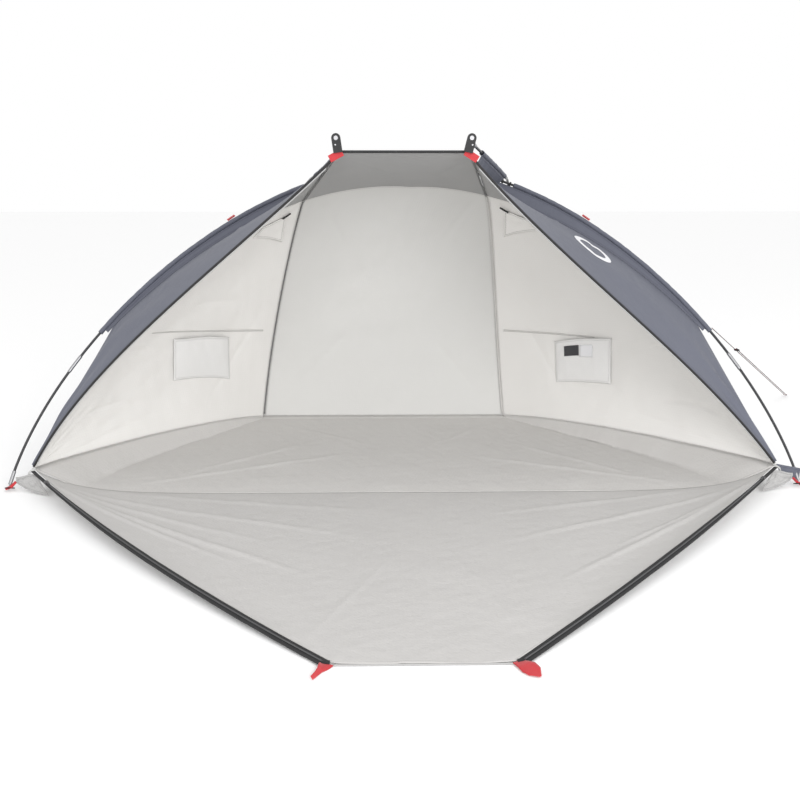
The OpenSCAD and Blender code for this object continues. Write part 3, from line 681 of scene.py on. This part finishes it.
def cut_vent(side, wall):
    """Open the wall where the vent's net is."""
    reach = 0.02
    corners = [patch(side, VENT_HOLE, c, d, i) for c, d in ((0, 0), (1, 0), (1, 1), (0, 1))
               for i in (-reach, reach)]
    faces = [(0, 2, 4, 6), (7, 5, 3, 1), (0, 1, 3, 2), (2, 3, 5, 4), (4, 5, 7, 6), (6, 7, 1, 0)]
    cutter = new_mesh("vent_cutter", corners, [f[::side] for f in faces], [mats["wall"]])
    m = wall.modifiers.new("vent", "BOOLEAN")
    m.operation, m.object, m.solver = "DIFFERENCE", cutter, "EXACT"
    bpy.context.view_layer.update()
    wall.data = bpy.data.meshes.new_from_object(wall.evaluated_get(bpy.context.evaluated_depsgraph_get()))
    wall.modifiers.clear()
    bpy.data.objects.remove(cutter)


def wedge_surface(side, a, b):
    """Cloth of the front wedge with its folds: a along the front edge, b from there to the hoop."""
    def smooth_cloth(a, b):
        return mix(front_edge(side, a), outer_seam(side, a), b)

    e, long, wide = 0.002, 1.7, 0.5
    normal = side * -unit(np.cross(smooth_cloth(a + e, b) - smooth_cloth(a - e, b),
                                   smooth_cloth(a, b + e) - smooth_cloth(a, b - e)))
    swell = 0.014 * arch(b) * arch(a) ** 0.7
    u, v = a * long, b * wide
    folds = 0.0030 * ripples(u, v, 11 + side, 0.30) * arch(b)
    low = smooth(a, 0.5, 0.12)
    folds = folds + 0.0045 * low * arch(b) * np.sin(b * 15 + 2.5 * a + side)
    for k in range(6):
        s, height = 0.30 + 0.10 * k, 0.004 * (1 if k % 2 else -0.8)
        end = ((s - 0.07 + 0.02 * (k % 3)) * long, 0.20 + 0.04 * (k % 2))
        folds = folds + crease(u, v, (s * long, 0.49), end, 0.016, height)
    return smooth_cloth(a, b) + normal * (swell + folds)[..., None], normal


def build_wedge(side):
    a, b = grid(150, 56, (0.012, 0))
    panel(f"front_wedge_{NAMES[side]}", wedge_surface(side, a, b)[0], CLOTH, "outside", "lining",
          [f"front_canopy_{NAMES[side]}"], flip=side > 0)


def build_mark():
    """A plain ring printed on the right wedge."""
    at, e, inner, outer = (0.672, 0.60), 0.005, 0.058, 0.084
    p = [wedge_surface(RIGHT, np.array(at[0] + i), np.array(at[1] + j))[0]
         for i, j in ((e, 0), (-e, 0), (0, e), (0, -e))]
    along, across = (p[0] - p[1]) / (2 * e), (p[2] - p[3]) / (2 * e)
    metric = np.linalg.inv(np.array([[along @ along, along @ across], [along @ across, across @ across]]))
    e1 = unit(along)
    e2 = unit(across - e1 * (across @ e1))
    r, turn = grid(6, 73, (inner, 0), (outer, TURN))
    d = r[..., None] * (np.cos(turn)[..., None] * e1 + np.sin(turn)[..., None] * e2)
    ab = np.stack([d @ along, d @ across], -1) @ metric
    cloth_at, normal = wedge_surface(RIGHT, at[0] + ab[..., 0], at[1] + ab[..., 1])
    panel("print_ring", cloth_at + normal * 0.0020, 0.0006, "print", "print")


def build_side(side):
    a, b = grid(130, 90)
    a = 0.008 + 0.992 * a
    u, v = a * 1.5, b * 1.0
    folds = 0.0045 * ripples(u, v, 21 + side, 0.42) + 0.0020 * ripples(u, v, 31 + side, 0.13)
    folds = add_creases(folds, u, v, SIDE_CREASES)
    hold = arch(np.clip(b, 0, 1)) ** 0.5 * arch(np.clip(a, 0, 1)) ** 0.4
    wall = panel(f"side_cloth_{NAMES[side]}", wall_point(side, a, b), CLOTH, "outside", "wall",
                 [f"side_wall_{NAMES[side]}"], flip=side < 0, push=folds * hold)
    cut_vent(side, wall)


def build_rear():
    a, b = grid(90, 110)
    u, v = a * 1.1, b * 1.3
    folds = 0.005 * ripples(u, v, 41, 0.55) + 0.0015 * ripples(u, v, 43, 0.14)
    folds = add_creases(folds, u, v, REAR_CREASES)
    panel("rear_cloth", rear_point(a, b), CLOTH, "outside", "rear", ["rear_wall"], flip=True,
          push=folds * (arch(a) * arch(b)) ** 0.5)


build_roof()
build_rear()
for side in SIDES:
    build_wedge(side)
    build_side(side)
build_mark()


# ---------------- floor and door
LOW = 0.0022                     # height of the cloth's middle where it lies on the ground
FLOOR_CREASES = ((-1.02, 0.02, -0.20, 0.42, 0.011, 0.006), (-0.95, 0.05, -0.35, 0.62, 0.011, 0.005),
                 (1.0, 0.02, 0.25, 0.38, 0.011, 0.006), (0.92, 0.06, 0.40, 0.60, 0.011, 0.005),
                 (-0.62, 0.92, -0.10, 0.50, 0.011, 0.004), (0.45, 0.92, 0.05, 0.45, 0.011, 0.004))
DOOR_CREASES = ((-1.24, -0.10, -0.30, -0.74, 0.011, 0.0080), (-1.22, -0.12, -0.52, -0.66, 0.008, 0.0070),
                (-1.23, -0.09, -0.42, -0.52, 0.010, 0.0060), (-1.20, -0.08, -0.20, -0.45, 0.011, 0.0060),
                (-1.10, -0.05, -0.10, -0.25, 0.012, 0.0045), (1.22, -0.10, 0.40, -0.80, 0.011, 0.0065),
                (1.21, -0.11, 0.62, -0.56, 0.008, 0.0060), (1.20, -0.08, 0.30, -0.50, 0.011, 0.0055),
                (1.05, -0.06, 0.25, -0.28, 0.012, 0.0045), (-0.30, -1.18, -0.05, -0.60, 0.010, 0.0025),
                (0.28, -1.15, 0.10, -0.55, 0.010, 0.0025))


def lip_foot(side, t):
    a, b = V(side * 1.120, -0.046, 0.003), rear_corner(side) + V(-side * 0.004, -0.006, 0.003)
    c, d = V(side * 1.225, 0.150, 0.003), a + (b - a) * 0.62 + V(side * 0.030, -0.020, 0)
    return bezier([a, c, d, b], t)


def build_floor():
    """The floor from fold line to rear wall, with the lips that rise to the side walls' feet."""
    u, b = grid(240, 96, (-1, 0))
    u = np.sin(u * math.pi / 2 * 0.999) * 0.25 + u * 0.75
    lip_from = 0.955
    inner = np.clip(np.abs(u) / lip_from, 0, 1)
    lip = np.clip((np.abs(u) - lip_from) / (1 - lip_from), 0, 1)
    p = np.zeros((*u.shape, 3))
    for side in SIDES:
        foot, top = lip_foot(side, b), wall_foot(side, b) + V(-side * 0.0025, -0.0020, 0.0055)
        on = (np.sign(u) == side) | (u == 0)
        middle = np.stack([-0.085 * b, FOLD_Y + (REAR_Y - FOLD_Y) * b, LOW + 0 * b], -1)
        flat = mix(middle, foot, inner)
        flat[..., 1] = middle[..., 1] * (1 - inner**6) + foot[..., 1] * inner**6
        q = np.where((lip > 0)[..., None], mix(foot, top, lip), flat)
        p = np.where(on[..., None], q, p)
    p[..., 2] += 0.011 * smooth(b, 0.985, 1.0) * (lip == 0)
    x, y = p[..., 0], p[..., 1]
    folds = 0.0018 * (1 + ripples(x, y, 51, 0.26)) + 0.0009 * (1 + ripples(x, y, 53, 0.07))
    folds = add_creases(folds, x, y, FLOOR_CREASES) * (smooth(b, 0.0, 0.08) * smooth(b, 1.0, 0.93))
    panel("floor_cloth", p, CLOTH, "floor", "floor",
          ["floor_panel", "floor_lip_left", "floor_lip_right"], push=folds)


def build_door():
    """The open front panel; its sides rise to the floor corners with the zips."""
    u, b = grid(260, 120, (-1, 0))
    left, right = door_edge(LEFT, b, -0.012), door_edge(RIGHT, b, -0.012)
    s, r = (u + 1) / 2, np.abs(u) ** 8
    line = HEM_Y + (FOLD_Y - HEM_Y) * b
    edge = np.where((u < 0)[..., None], left, right)
    p = np.stack([left[..., 0] * (1 - s) + right[..., 0] * s, line * (1 - r) + edge[..., 1] * r,
                  LOW + np.maximum(edge[..., 2] - LOW, 0) * r], -1)
    x, y = p[..., 0], p[..., 1]
    folds = 0.0013 * (1 + ripples(x, y, 61, 0.22)) + 0.0007 * (1 + ripples(x, y, 63, 0.06))
    folds = add_creases(folds, x, y, DOOR_CREASES) * (smooth(b, 1.0, 0.96) * smooth(np.abs(u), 1.0, 0.985))
    panel("door_cloth", p, CLOTH, "mat", "mat", ["door_panel"], push=folds,
          blend=DOOR_BLEND)


build_floor()
build_door()

# ---------------- poles
ROD_R, FERRULE_R, FERRULE_L, TIP = 0.00475, 0.0063, 0.076, 0.070
BUTT = 0.0002                    # half the gap between two rods, hidden in a ferrule
HOOP_RODS = 8
HOOP_SAMPLES = np.linspace(0, 1, 241)
hoop_line = np.concatenate([hoop(LEFT, HOOP_SAMPLES), hoop(RIGHT, HOOP_SAMPLES[-2::-1])])
hoop_part = running(hoop_line)[-1] / HOOP_RODS


def rod(name, line, s0, s1, ref, node):
    ends = np.ones(49)
    ends[0] = ends[-1] = 0.8
    sweep(name, stretch(line, s0, s1, 48), circle(ROD_R, 20), "rod", [node], ref, scale=ends)


def ferrule(name, line, at, ref, node):
    path = stretch(line, at - FERRULE_L / 2, at + FERRULE_L / 2, 14)
    ends = np.ones(15)
    ends[0] = ends[-1] = 0.93
    sweep(name, path, circle(FERRULE_R, 24), "metal", [node], ref, scale=ends)


for k in range(HOOP_RODS):
    first, last = k == 0, k == HOOP_RODS - 1
    rod(f"hoop_section_{k + 1}", hoop_line, k * hoop_part + (TIP / 2 if first else BUTT),
        (k + 1) * hoop_part - (TIP / 2 if last else BUTT), HOOP_NORMAL, f"hoop_rod_{k + 1}")
for k in range(1, HOOP_RODS):
    ferrule(f"hoop_ferrule_{k}", hoop_line, k * hoop_part, HOOP_NORMAL, "hoop_ferrules")
for side in SIDES:
    s = np.linspace(0, 1, 121)
    line = np.concatenate([ridge_front(side, s), ridge_rear(side, s[1:])])
    third = running(line)[-1] / 3
    for k, part in enumerate(("front", "middle", "rear")):
        rod(f"ridge_section_{NAMES[side]}_{part}", line, k * third + (0.011 if k == 0 else BUTT),
            (k + 1) * third - (0.016 if k == 2 else BUTT), (1, 0, 0), f"ridge_rod_{NAMES[side]}_{part}")
    for k in (1, 2):
        ferrule(f"ridge_ferrule_{NAMES[side]}_{k}", line, k * third, (1, 0, 0), "ridge_ferrules")

CAD_FINISH = {
    "metal": ("hoop_tip_left", "hoop_tip_right", "ridge_tips", "lug_rivets"),
    "plastic": ("crossing_clips", "guy_slider", "lug_left", "lug_right"),
    "red": ("top_tab_left", "top_tab_right", "sleeve_ties"),
    "enamel": ("zip_slider_left", "zip_slider_right"),
    "net": ("vent_meshes",),
}
for mat, nodes in CAD_FINISH.items():
    for node in nodes:
        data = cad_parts[node].data
        data.materials.clear()
        data.materials.append(mats[mat])

# ---------------- sleeves
BORE, REACH, ROUND = 0.0072, 0.0084, 24
CLEAR = 0.0080                   # from a pole's centre line to the cloth that hangs from its sleeve
FIN = 0.0014


def hollow(name, path, ref, node, seed):
    """A cloth tube round a pole, open at both ends and a little uneven along its length."""
    u, v = frames(path, V(*ref))
    ang = np.arange(ROUND) * 2 * math.pi / ROUND
    s = running(path)
    n, k = len(path), ROUND
    rings = []
    for r in (REACH, BORE):
        bump = 0.0006 * (1 + ripples(s[:, None], ang[None] * 0.02, seed, 0.05)) if r == REACH else 0
        x, y = ((r + bump) * np.cos(ang))[..., None], ((r + bump) * np.sin(ang))[..., None]
        rings.append((path[:, None] + x * u[:, None] + y * v[:, None]).reshape(-1, 3))
    outer = tube_faces(n, k)
    inner = outer[:, [0, 3, 2, 1]] + n * k
    j = np.arange(k)
    q = (j + 1) % k
    first = np.stack([j, j + n * k, q + n * k, q], 1)
    last = np.stack([j, q, q + n * k, j + n * k], 1) + (n - 1) * k
    uv = np.stack(np.meshgrid(s, ang * REACH, indexing="ij"), -1).reshape(-1, 2)
    far_from_edge = {"edge": np.full(2 * n * k, 0.03), "run": np.zeros(2 * n * k)}
    obj = new_mesh(name, np.concatenate(rings), np.concatenate([outer, inner, first, last]).tolist(),
                   [mats["band"]], None, np.concatenate([uv, uv]), far_from_edge)
    fasten(obj, "shelter", [node])


def build_sleeves(side):
    word = NAMES[side]
    # hoop
    node = f"hoop_sleeve_{word}"
    t = np.linspace(SLEEVE_MOUTH, pick(side, SLEEVE_END), 150)
    hollow(f"hoop_sleeve_tube_{word}", hoop(side, t), -side * HOOP_NORMAL, node, 71 + side)
    t, w = grid(150, 12)
    t = SLEEVE_MOUTH + 0.010 + (pick(side, (0.787, 0.835)) - SLEEVE_MOUTH - 0.010) * t
    band = mix(hoop(side, t, -CLEAR), hoop(side, t, -np.maximum(seam_drop(side, t) - 0.0005, 0.0100)), w)
    panel(f"hoop_sleeve_band_{word}", band, 0.0016, "band", "band", [node], flip=side > 0,
          push=0.0012 * ripples(t * 2, w * 0.04, 73 + side, 0.07) * arch(w))
    # ridge, in front of the crossing
    node, mouth, end = f"ridge_sleeve_{word}", 0.28, 0.93
    path = ridge_front(side, np.linspace(mouth, end, 70))
    hollow(f"ridge_sleeve_tube_{word}", path, (-1, 0, 0), node, 75 + side)
    t, w = grid(70, 10)
    path = ridge_front(side, mouth + 0.65 * t)
    fin = mix(path - V(0, 0, CLEAR), roof_seam(side, path[..., 1]) + V(side * 0.001, 0, 0.003), w)
    panel(f"ridge_fin_{word}", fin, FIN, "outside", "outside", [node],
          push=0.0020 * ripples(t * 0.4, w * 0.05, 77 + side, 0.09) * arch(w))
    # ridge, behind the crossing
    node, mouth, end = f"rear_sleeve_{word}", 0.12, 0.93
    path = ridge_rear(side, np.linspace(mouth, end, 110))
    hollow(f"rear_sleeve_tube_{word}", path, (-1, 0, 0), node, 79 + side)
    t, w = grid(110, 8)
    t = mouth + 0.81 * t
    pole, seam = ridge_rear(side, t), rear_ridge(side, t)
    panel(f"rear_fin_{word}", mix(pole + unit(seam - pole) * CLEAR, seam, w), FIN, "outside", "outside",
          [node], push=0.0020 * ripples(t * 1.1, w * 0.05, 83 + side, 0.10) * arch(w))


# ---------------- bindings, seams and zips
SEAM = 0.0065
WALL_SEAMS = {LEFT: ((0.48, 0.63), (0.62, 0.45), (0.78, 0.38), (0.94, 0.34)),
              RIGHT: ((0.97, 0.325), (0.85, 0.34), (0.74, 0.37), (0.634, 0.424))}


def build_edges():
    tape = ["front_edge_tape"]
    for side in SIDES:
        word, inward = NAMES[side], V(-side * 0.7, -0.20, -0.7)
        edge, along = front_edge(side, np.linspace(0.012, 0.985, 160)), (-side, 0, -1)
        line = edge + inward * 0.003
        sweep(f"front_binding_{word}", line, circle(0.0042, 12), "tape", tape, along)
        line = edge[3:-3] + inward * 0.0095
        sweep(f"front_coil_{word}", line, circle(0.0019, 10), "pale_coil", tape, along)
        y = np.linspace(0.01, 0.99, 60) * ridge_corner(side)[1]
        line = roof_seam(side, y) + V(-side * 0.004, 0, -0.005)
        sweep(f"roof_seam_{word}", line, rect(SEAM, 0.002), "binding", ref=(side, 0, 0.6))
        line = rear_ridge(side, np.linspace(0.01, 0.985, 120)) + V(-side * 0.002, -0.006, -0.002)
        mat = pick(side, ("binding", "seam"))
        sweep(f"wall_ridge_seam_{word}", line, rect(0.0060, 0.002), mat, ref=(0, 1, 0))
    line = front_top(np.linspace(0.03, 0.97, 40)) + V(0, -0.003, -0.001)
    sweep("roof_front_binding", line, circle(0.0046, 12), "tape", tape)
    for side, line in WALL_SEAMS.items():
        s, w = grid(90, 3)
        ab = bezier([V(*k) for k in line], s)
        a, b = ab[..., 0], ab[..., 1] + (w - 0.5) * SEAM
        strip = wall_point(side, a, b) + wall_in(side, a, b) * 0.0042
        panel(f"wall_seam_{NAMES[side]}", strip, 0.0012, "seam", "seam")


def build_zip(side):
    node, along, across, teeth = f"zip_tape_{NAMES[side]}", 220, 7, 700
    t, w = grid(along, across)
    t = 0.003 + 0.985 * t
    width = 0.013 + 0.014 * smooth(t, 0.97, 0.45)
    lift = 0.0015 + 0.0004 * ripples(t * 1.5, w * 0.03, 91 + side, 0.12)
    p = np.stack([np.stack([door_edge(side, t[i, j], (w[i, j] - 0.5) * width[i, j], lift[i, j])
                            for j in range(across)]) for i in range(along)])
    panel(f"zip_tape_cloth_{NAMES[side]}", p, 0.0018, "tape", "tape", [node], blend=DOOR_BLEND)
    # The coil rides on the door, so it stops where the tape starts to bend towards the shelter.
    path = np.array([door_edge(side, x, 0, 0.0041) for x in np.linspace(0.004, 0.909, teeth)])
    sweep(f"zip_coil_{NAMES[side]}", path, rect(0.0050, 0.0032, 0.4), "coil", [node], body="door",
          scale=np.where(np.arange(teeth) % 2 == 0, 1.0, 0.86))


# ---------------- vents, pockets and label
POCKETS = {LEFT: ((0.553, 0.265), (0.798, 0.177), (0.781, 0.365), (0.557, 0.497)),
           RIGHT: ((0.560, 0.228), (0.755, 0.164), (0.768, 0.336), (0.580, 0.460))}


def build_vent(side):
    body = f"vent_flap_{NAMES[side]}"
    c, d = grid(30, 26)
    bow = 0.0016 * ripples(c * 0.14, d * 0.12, 101 + side, 0.09)
    panel(f"vent_flap_cloth_{NAMES[side]}", patch(side, VENT, c, d, 0.007 + bow), 0.0016, "flap", "flap",
          [body], body)
    s = np.linspace(0, 1, 16)
    q = patch(side, VENT, 0.80 + 0.34 * s, 1.05 + 0.10 * s, 0.0125 + 0 * s)
    sweep(f"vent_toggle_{NAMES[side]}", q, circle(0.0035, 14), "plastic", body=body)


def pocket_point(side, c, d, out=0):
    """Point (c, d) of the pocket's cloth, which stands off the wall most at its mouth."""
    return patch(side, POCKETS[side], c, d, 0.004 + 0.018 * (1 - (2 * c - 1) ** 4) * (1 - (1 - d) ** 3) + out)


def pocket_hang(side, c, d):
    return 0.0013 * ripples(c * 0.25, d * 0.16, 111 + side, 0.06)


def build_pocket(side):
    word, cloth_name = NAMES[side], "wall_cloth"
    c, d = grid(60, 44)
    hang = pocket_hang(side, c, d) * (0.3 + 0.7 * d) * (1 - (2 * c - 1) ** 6)
    panel(f"pocket_cloth_{word}", pocket_point(side, c, d, hang), 0.0013, "pocket", "pocket",
          [f"pocket_{word}"])
    s = np.linspace(0.0, 1.0, 60)
    hang = pocket_hang(side, s, 0 * s + 1) * (1 - (2 * s - 1) ** 6)
    stand = 0.004 + 0.018 * (1 - (2 * s - 1) ** 4)
    line = patch(side, POCKETS[side], s, 0 * s + 0.985, stand + hang)
    sweep(f"pocket_hem_{word}", line, rect(0.010, 0.0034), "pocket", [f"pocket_{word}"])
    if side == RIGHT:
        for name, mat, size, lo, hi in (("blank_label", "label", (16, 10), (0.52, 0.62), (0.79, 0.86)),
                                        ("blank_label_end", "print", (10, 10), (0.28, 0.58), (0.50, 0.86))):
            c, d = grid(*size, lo, hi)
            panel(name, pocket_point(side, c, d, 0.0028), 0.0008, mat, mat)


# ---------------- corners, straps and tabs
def strap(name, centre, width, lean, mat, nodes=(), body="shelter"):
    """A strip of webbing along the polyline centre; width and lean (its roll in degrees) run along it."""
    steps = 40
    centre = np.array(centre, float)
    line = eased(stretch(centre, 0, running(centre)[-1], steps), 4)
    s = np.linspace(0, 1, steps + 1)
    wide = np.interp(s, np.linspace(0, 1, len(width)), width)
    roll = np.radians(np.interp(s, np.linspace(0, 1, len(lean)), lean))
    way = unit(np.gradient(line, axis=0))
    flat = unit(np.cross(way, V(*UP)))
    across = flat * np.cos(roll)[:, None] + np.cross(flat, way) * np.sin(roll)[:, None]
    p = line[:, None] + across[:, None] * (wide[:, None] * np.linspace(-0.5, 0.5, 7)[None])[..., None]
    panel(name, p, 0.0018, mat, mat, nodes, body)


def build_gusset(side):
    a, b = grid(60, 34)
    low = bezier([V(side * x, y, z) for x, y, z in (
        (1.262, -0.072, 0.006), (1.300, -0.052, 0.004), (1.355, -0.030, 0.008), (1.398, -0.004, 0.030))], a)
    high = bezier([V(side * x, y, z) for x, y, z in (
        (1.316, -0.014, 0.058), (1.345, 0.004, 0.070), (1.372, 0.006, 0.046), (1.402, 0.006, 0.048))], a)
    u, v = a * 0.16, b * 0.06
    crumple = 0.0034 * ripples(u, v, 121 + side, 0.040) + 0.0016 * ripples(u, v, 123, 0.016)
    crumple = add_creases(crumple, u, v, ((0.01, 0.05, 0.10, 0.012, 0.005, 0.004),
                                          (0.03, 0.055, 0.15, 0.03, 0.005, -0.004)))
    panel(f"gusset_cloth_{NAMES[side]}", mix(low, high, b), CLOTH, "gusset", "gusset",
          [f"corner_gusset_{NAMES[side]}"], push=crumple * arch(b) ** 0.5)


def build_foot(side):
    """The strap and elastic loop that hold the hoop's foot."""
    foot = hoop(side, 0)
    centre = [foot + V(-side * 0.034, -0.006, 0.034), foot + V(-side * 0.016, -0.012, 0.016),
              foot + V(side * 0.004, -0.010, 0.009)]
    strap(f"foot_strap_{NAMES[side]}", centre, [0.010, 0.011, 0.009], [50, 60, 70], "red",
          ["foot_straps"])
    loop = [foot + V(side * (-0.009 + 0.016 * math.cos(q)), -0.003 - 0.011 * math.sin(q),
                     0.010 + 0.004 * math.sin(q)) for q in np.linspace(0, TURN, 40)]
    sweep(f"foot_elastic_{NAMES[side]}", loop, circle(0.0022, 10), "plastic", ["foot_straps"])


def build_corners():
    for side in SIDES:
        build_gusset(side)
        build_foot(side)
        corner = floor_corner(side)
        strap(f"edge_webbing_{NAMES[side]}", [corner + V(-side * 0.020, -0.010, 0.010),
                                              corner + V(side * 0.002, -0.012, -0.004),
                                              corner + V(side * 0.012, -0.012, -0.034)],
              [0.007, 0.008, 0.007], [70, 80, 75], "white")
    a, b = grid(30, 16)
    low = mix(V(1.352, 0.006, 0.044), V(1.432, 0.014, 0.012), a)
    high = mix(V(1.344, 0.014, 0.080), V(1.438, 0.022, 0.060), a)
    panel("corner_flap_right", mix(low, high, b), CLOTH, "band", "outside",
          push=0.0030 * ripples(a * 0.07, b * 0.04, 131, 0.04))


def build_hem():
    """The stake straps, the hem's fold and the keepers at its ends."""
    strap("stake_strap_left", [V(-0.2150, HEM_Y + 0.004, 0.0030), V(-0.2260, HEM_Y - 0.022, 0.0075),
                               V(-0.2360, HEM_Y - 0.046, 0.0068), V(-0.2440, HEM_Y - 0.064, 0.0080)],
          [0.034, 0.026, 0.015, 0.012, 0.010], [0, 25, 50, 62, 55], "red",
          ["stake_tab_left"], "door")
    strap("stake_strap_right", [V(0.2230, HEM_Y + 0.006, 0.0040), V(0.2360, HEM_Y - 0.016, 0.0085),
                                V(0.2500, HEM_Y - 0.036, 0.0085), V(0.2660, HEM_Y - 0.060, 0.0040)],
          [0.026, 0.030, 0.040, 0.036, 0.006], [0, -10, -17, -12, 0], "red",
          ["stake_tab_right"], "door")
    hem = [V(x, HEM_Y - 0.001, 0.0024) for x in np.linspace(HEM[LEFT][0] + 0.012, HEM[RIGHT][0] - 0.012, 60)]
    sweep("hem_fold", hem, rect(0.0042, 0.0034), "gusset", body="door")
    for side in SIDES:
        at, half = HEM[side] + V(side * 0.004, 0.006, 0.004), V(0.010, 0, 0)
        keeper = sweep(f"hem_keeper_{NAMES[side]}", [at - half, at, at + half], rect(0.012, 0.005), "plastic",
                       body="door")
        bevelled(keeper, 0.001)


for side in SIDES:
    build_sleeves(side)
    build_zip(side)
    build_vent(side)
    build_pocket(side)
build_edges()
build_corners()
build_hem()
for side in SIDES:
    at = V(side * 0.223 - 0.013, -0.0262, 1.216) + V(side * 0.002, 0, -0.022)
    stud = sweep(f"lug_stud_{NAMES[side]}", [at, at - V(0, 0.0016, 0)], circle(0.0030, 20), "metal",
                 body=f"lug_{NAMES[side]}")
    bevelled(stud, 0.0004)

# ---------------- stage and light
bpy.ops.mesh.primitive_plane_add(size=60, location=(0, 0, -0.0005))
ground = bpy.context.object
ground.name = "ground"
ground.data.materials.append(material("ground", (0.96, 0.96, 0.96), 0.95))
scene = bpy.context.scene
scene.world = bpy.data.worlds.new("world")
scene.world.use_nodes = True
sky = scene.world.node_tree.nodes["Background"]
sky.inputs["Color"].default_value = (1, 1, 1, 1)
sky.inputs["Strength"].default_value = 1.0


def area_light(name, at, to, power):
    data = bpy.data.lights.new(name, "AREA")
    data.shape, data.size, data.energy = "DISK", 3.0, power
    obj = bpy.data.objects.new(name, data)
    obj.location = at
    obj.rotation_euler = (Vector(to) - Vector(at)).to_track_quat("-Z", "Y").to_euler()
    scene.collection.objects.link(obj)


area_light("key", (2.2, -5.4, 2.2), (0, 0.3, 0.5), 165)
area_light("fill", (-2.0, -5.6, 1.6), (0, 0.5, 0.5), 75)
scene.view_settings.view_transform = "Standard"
scene.view_settings.look = "None"
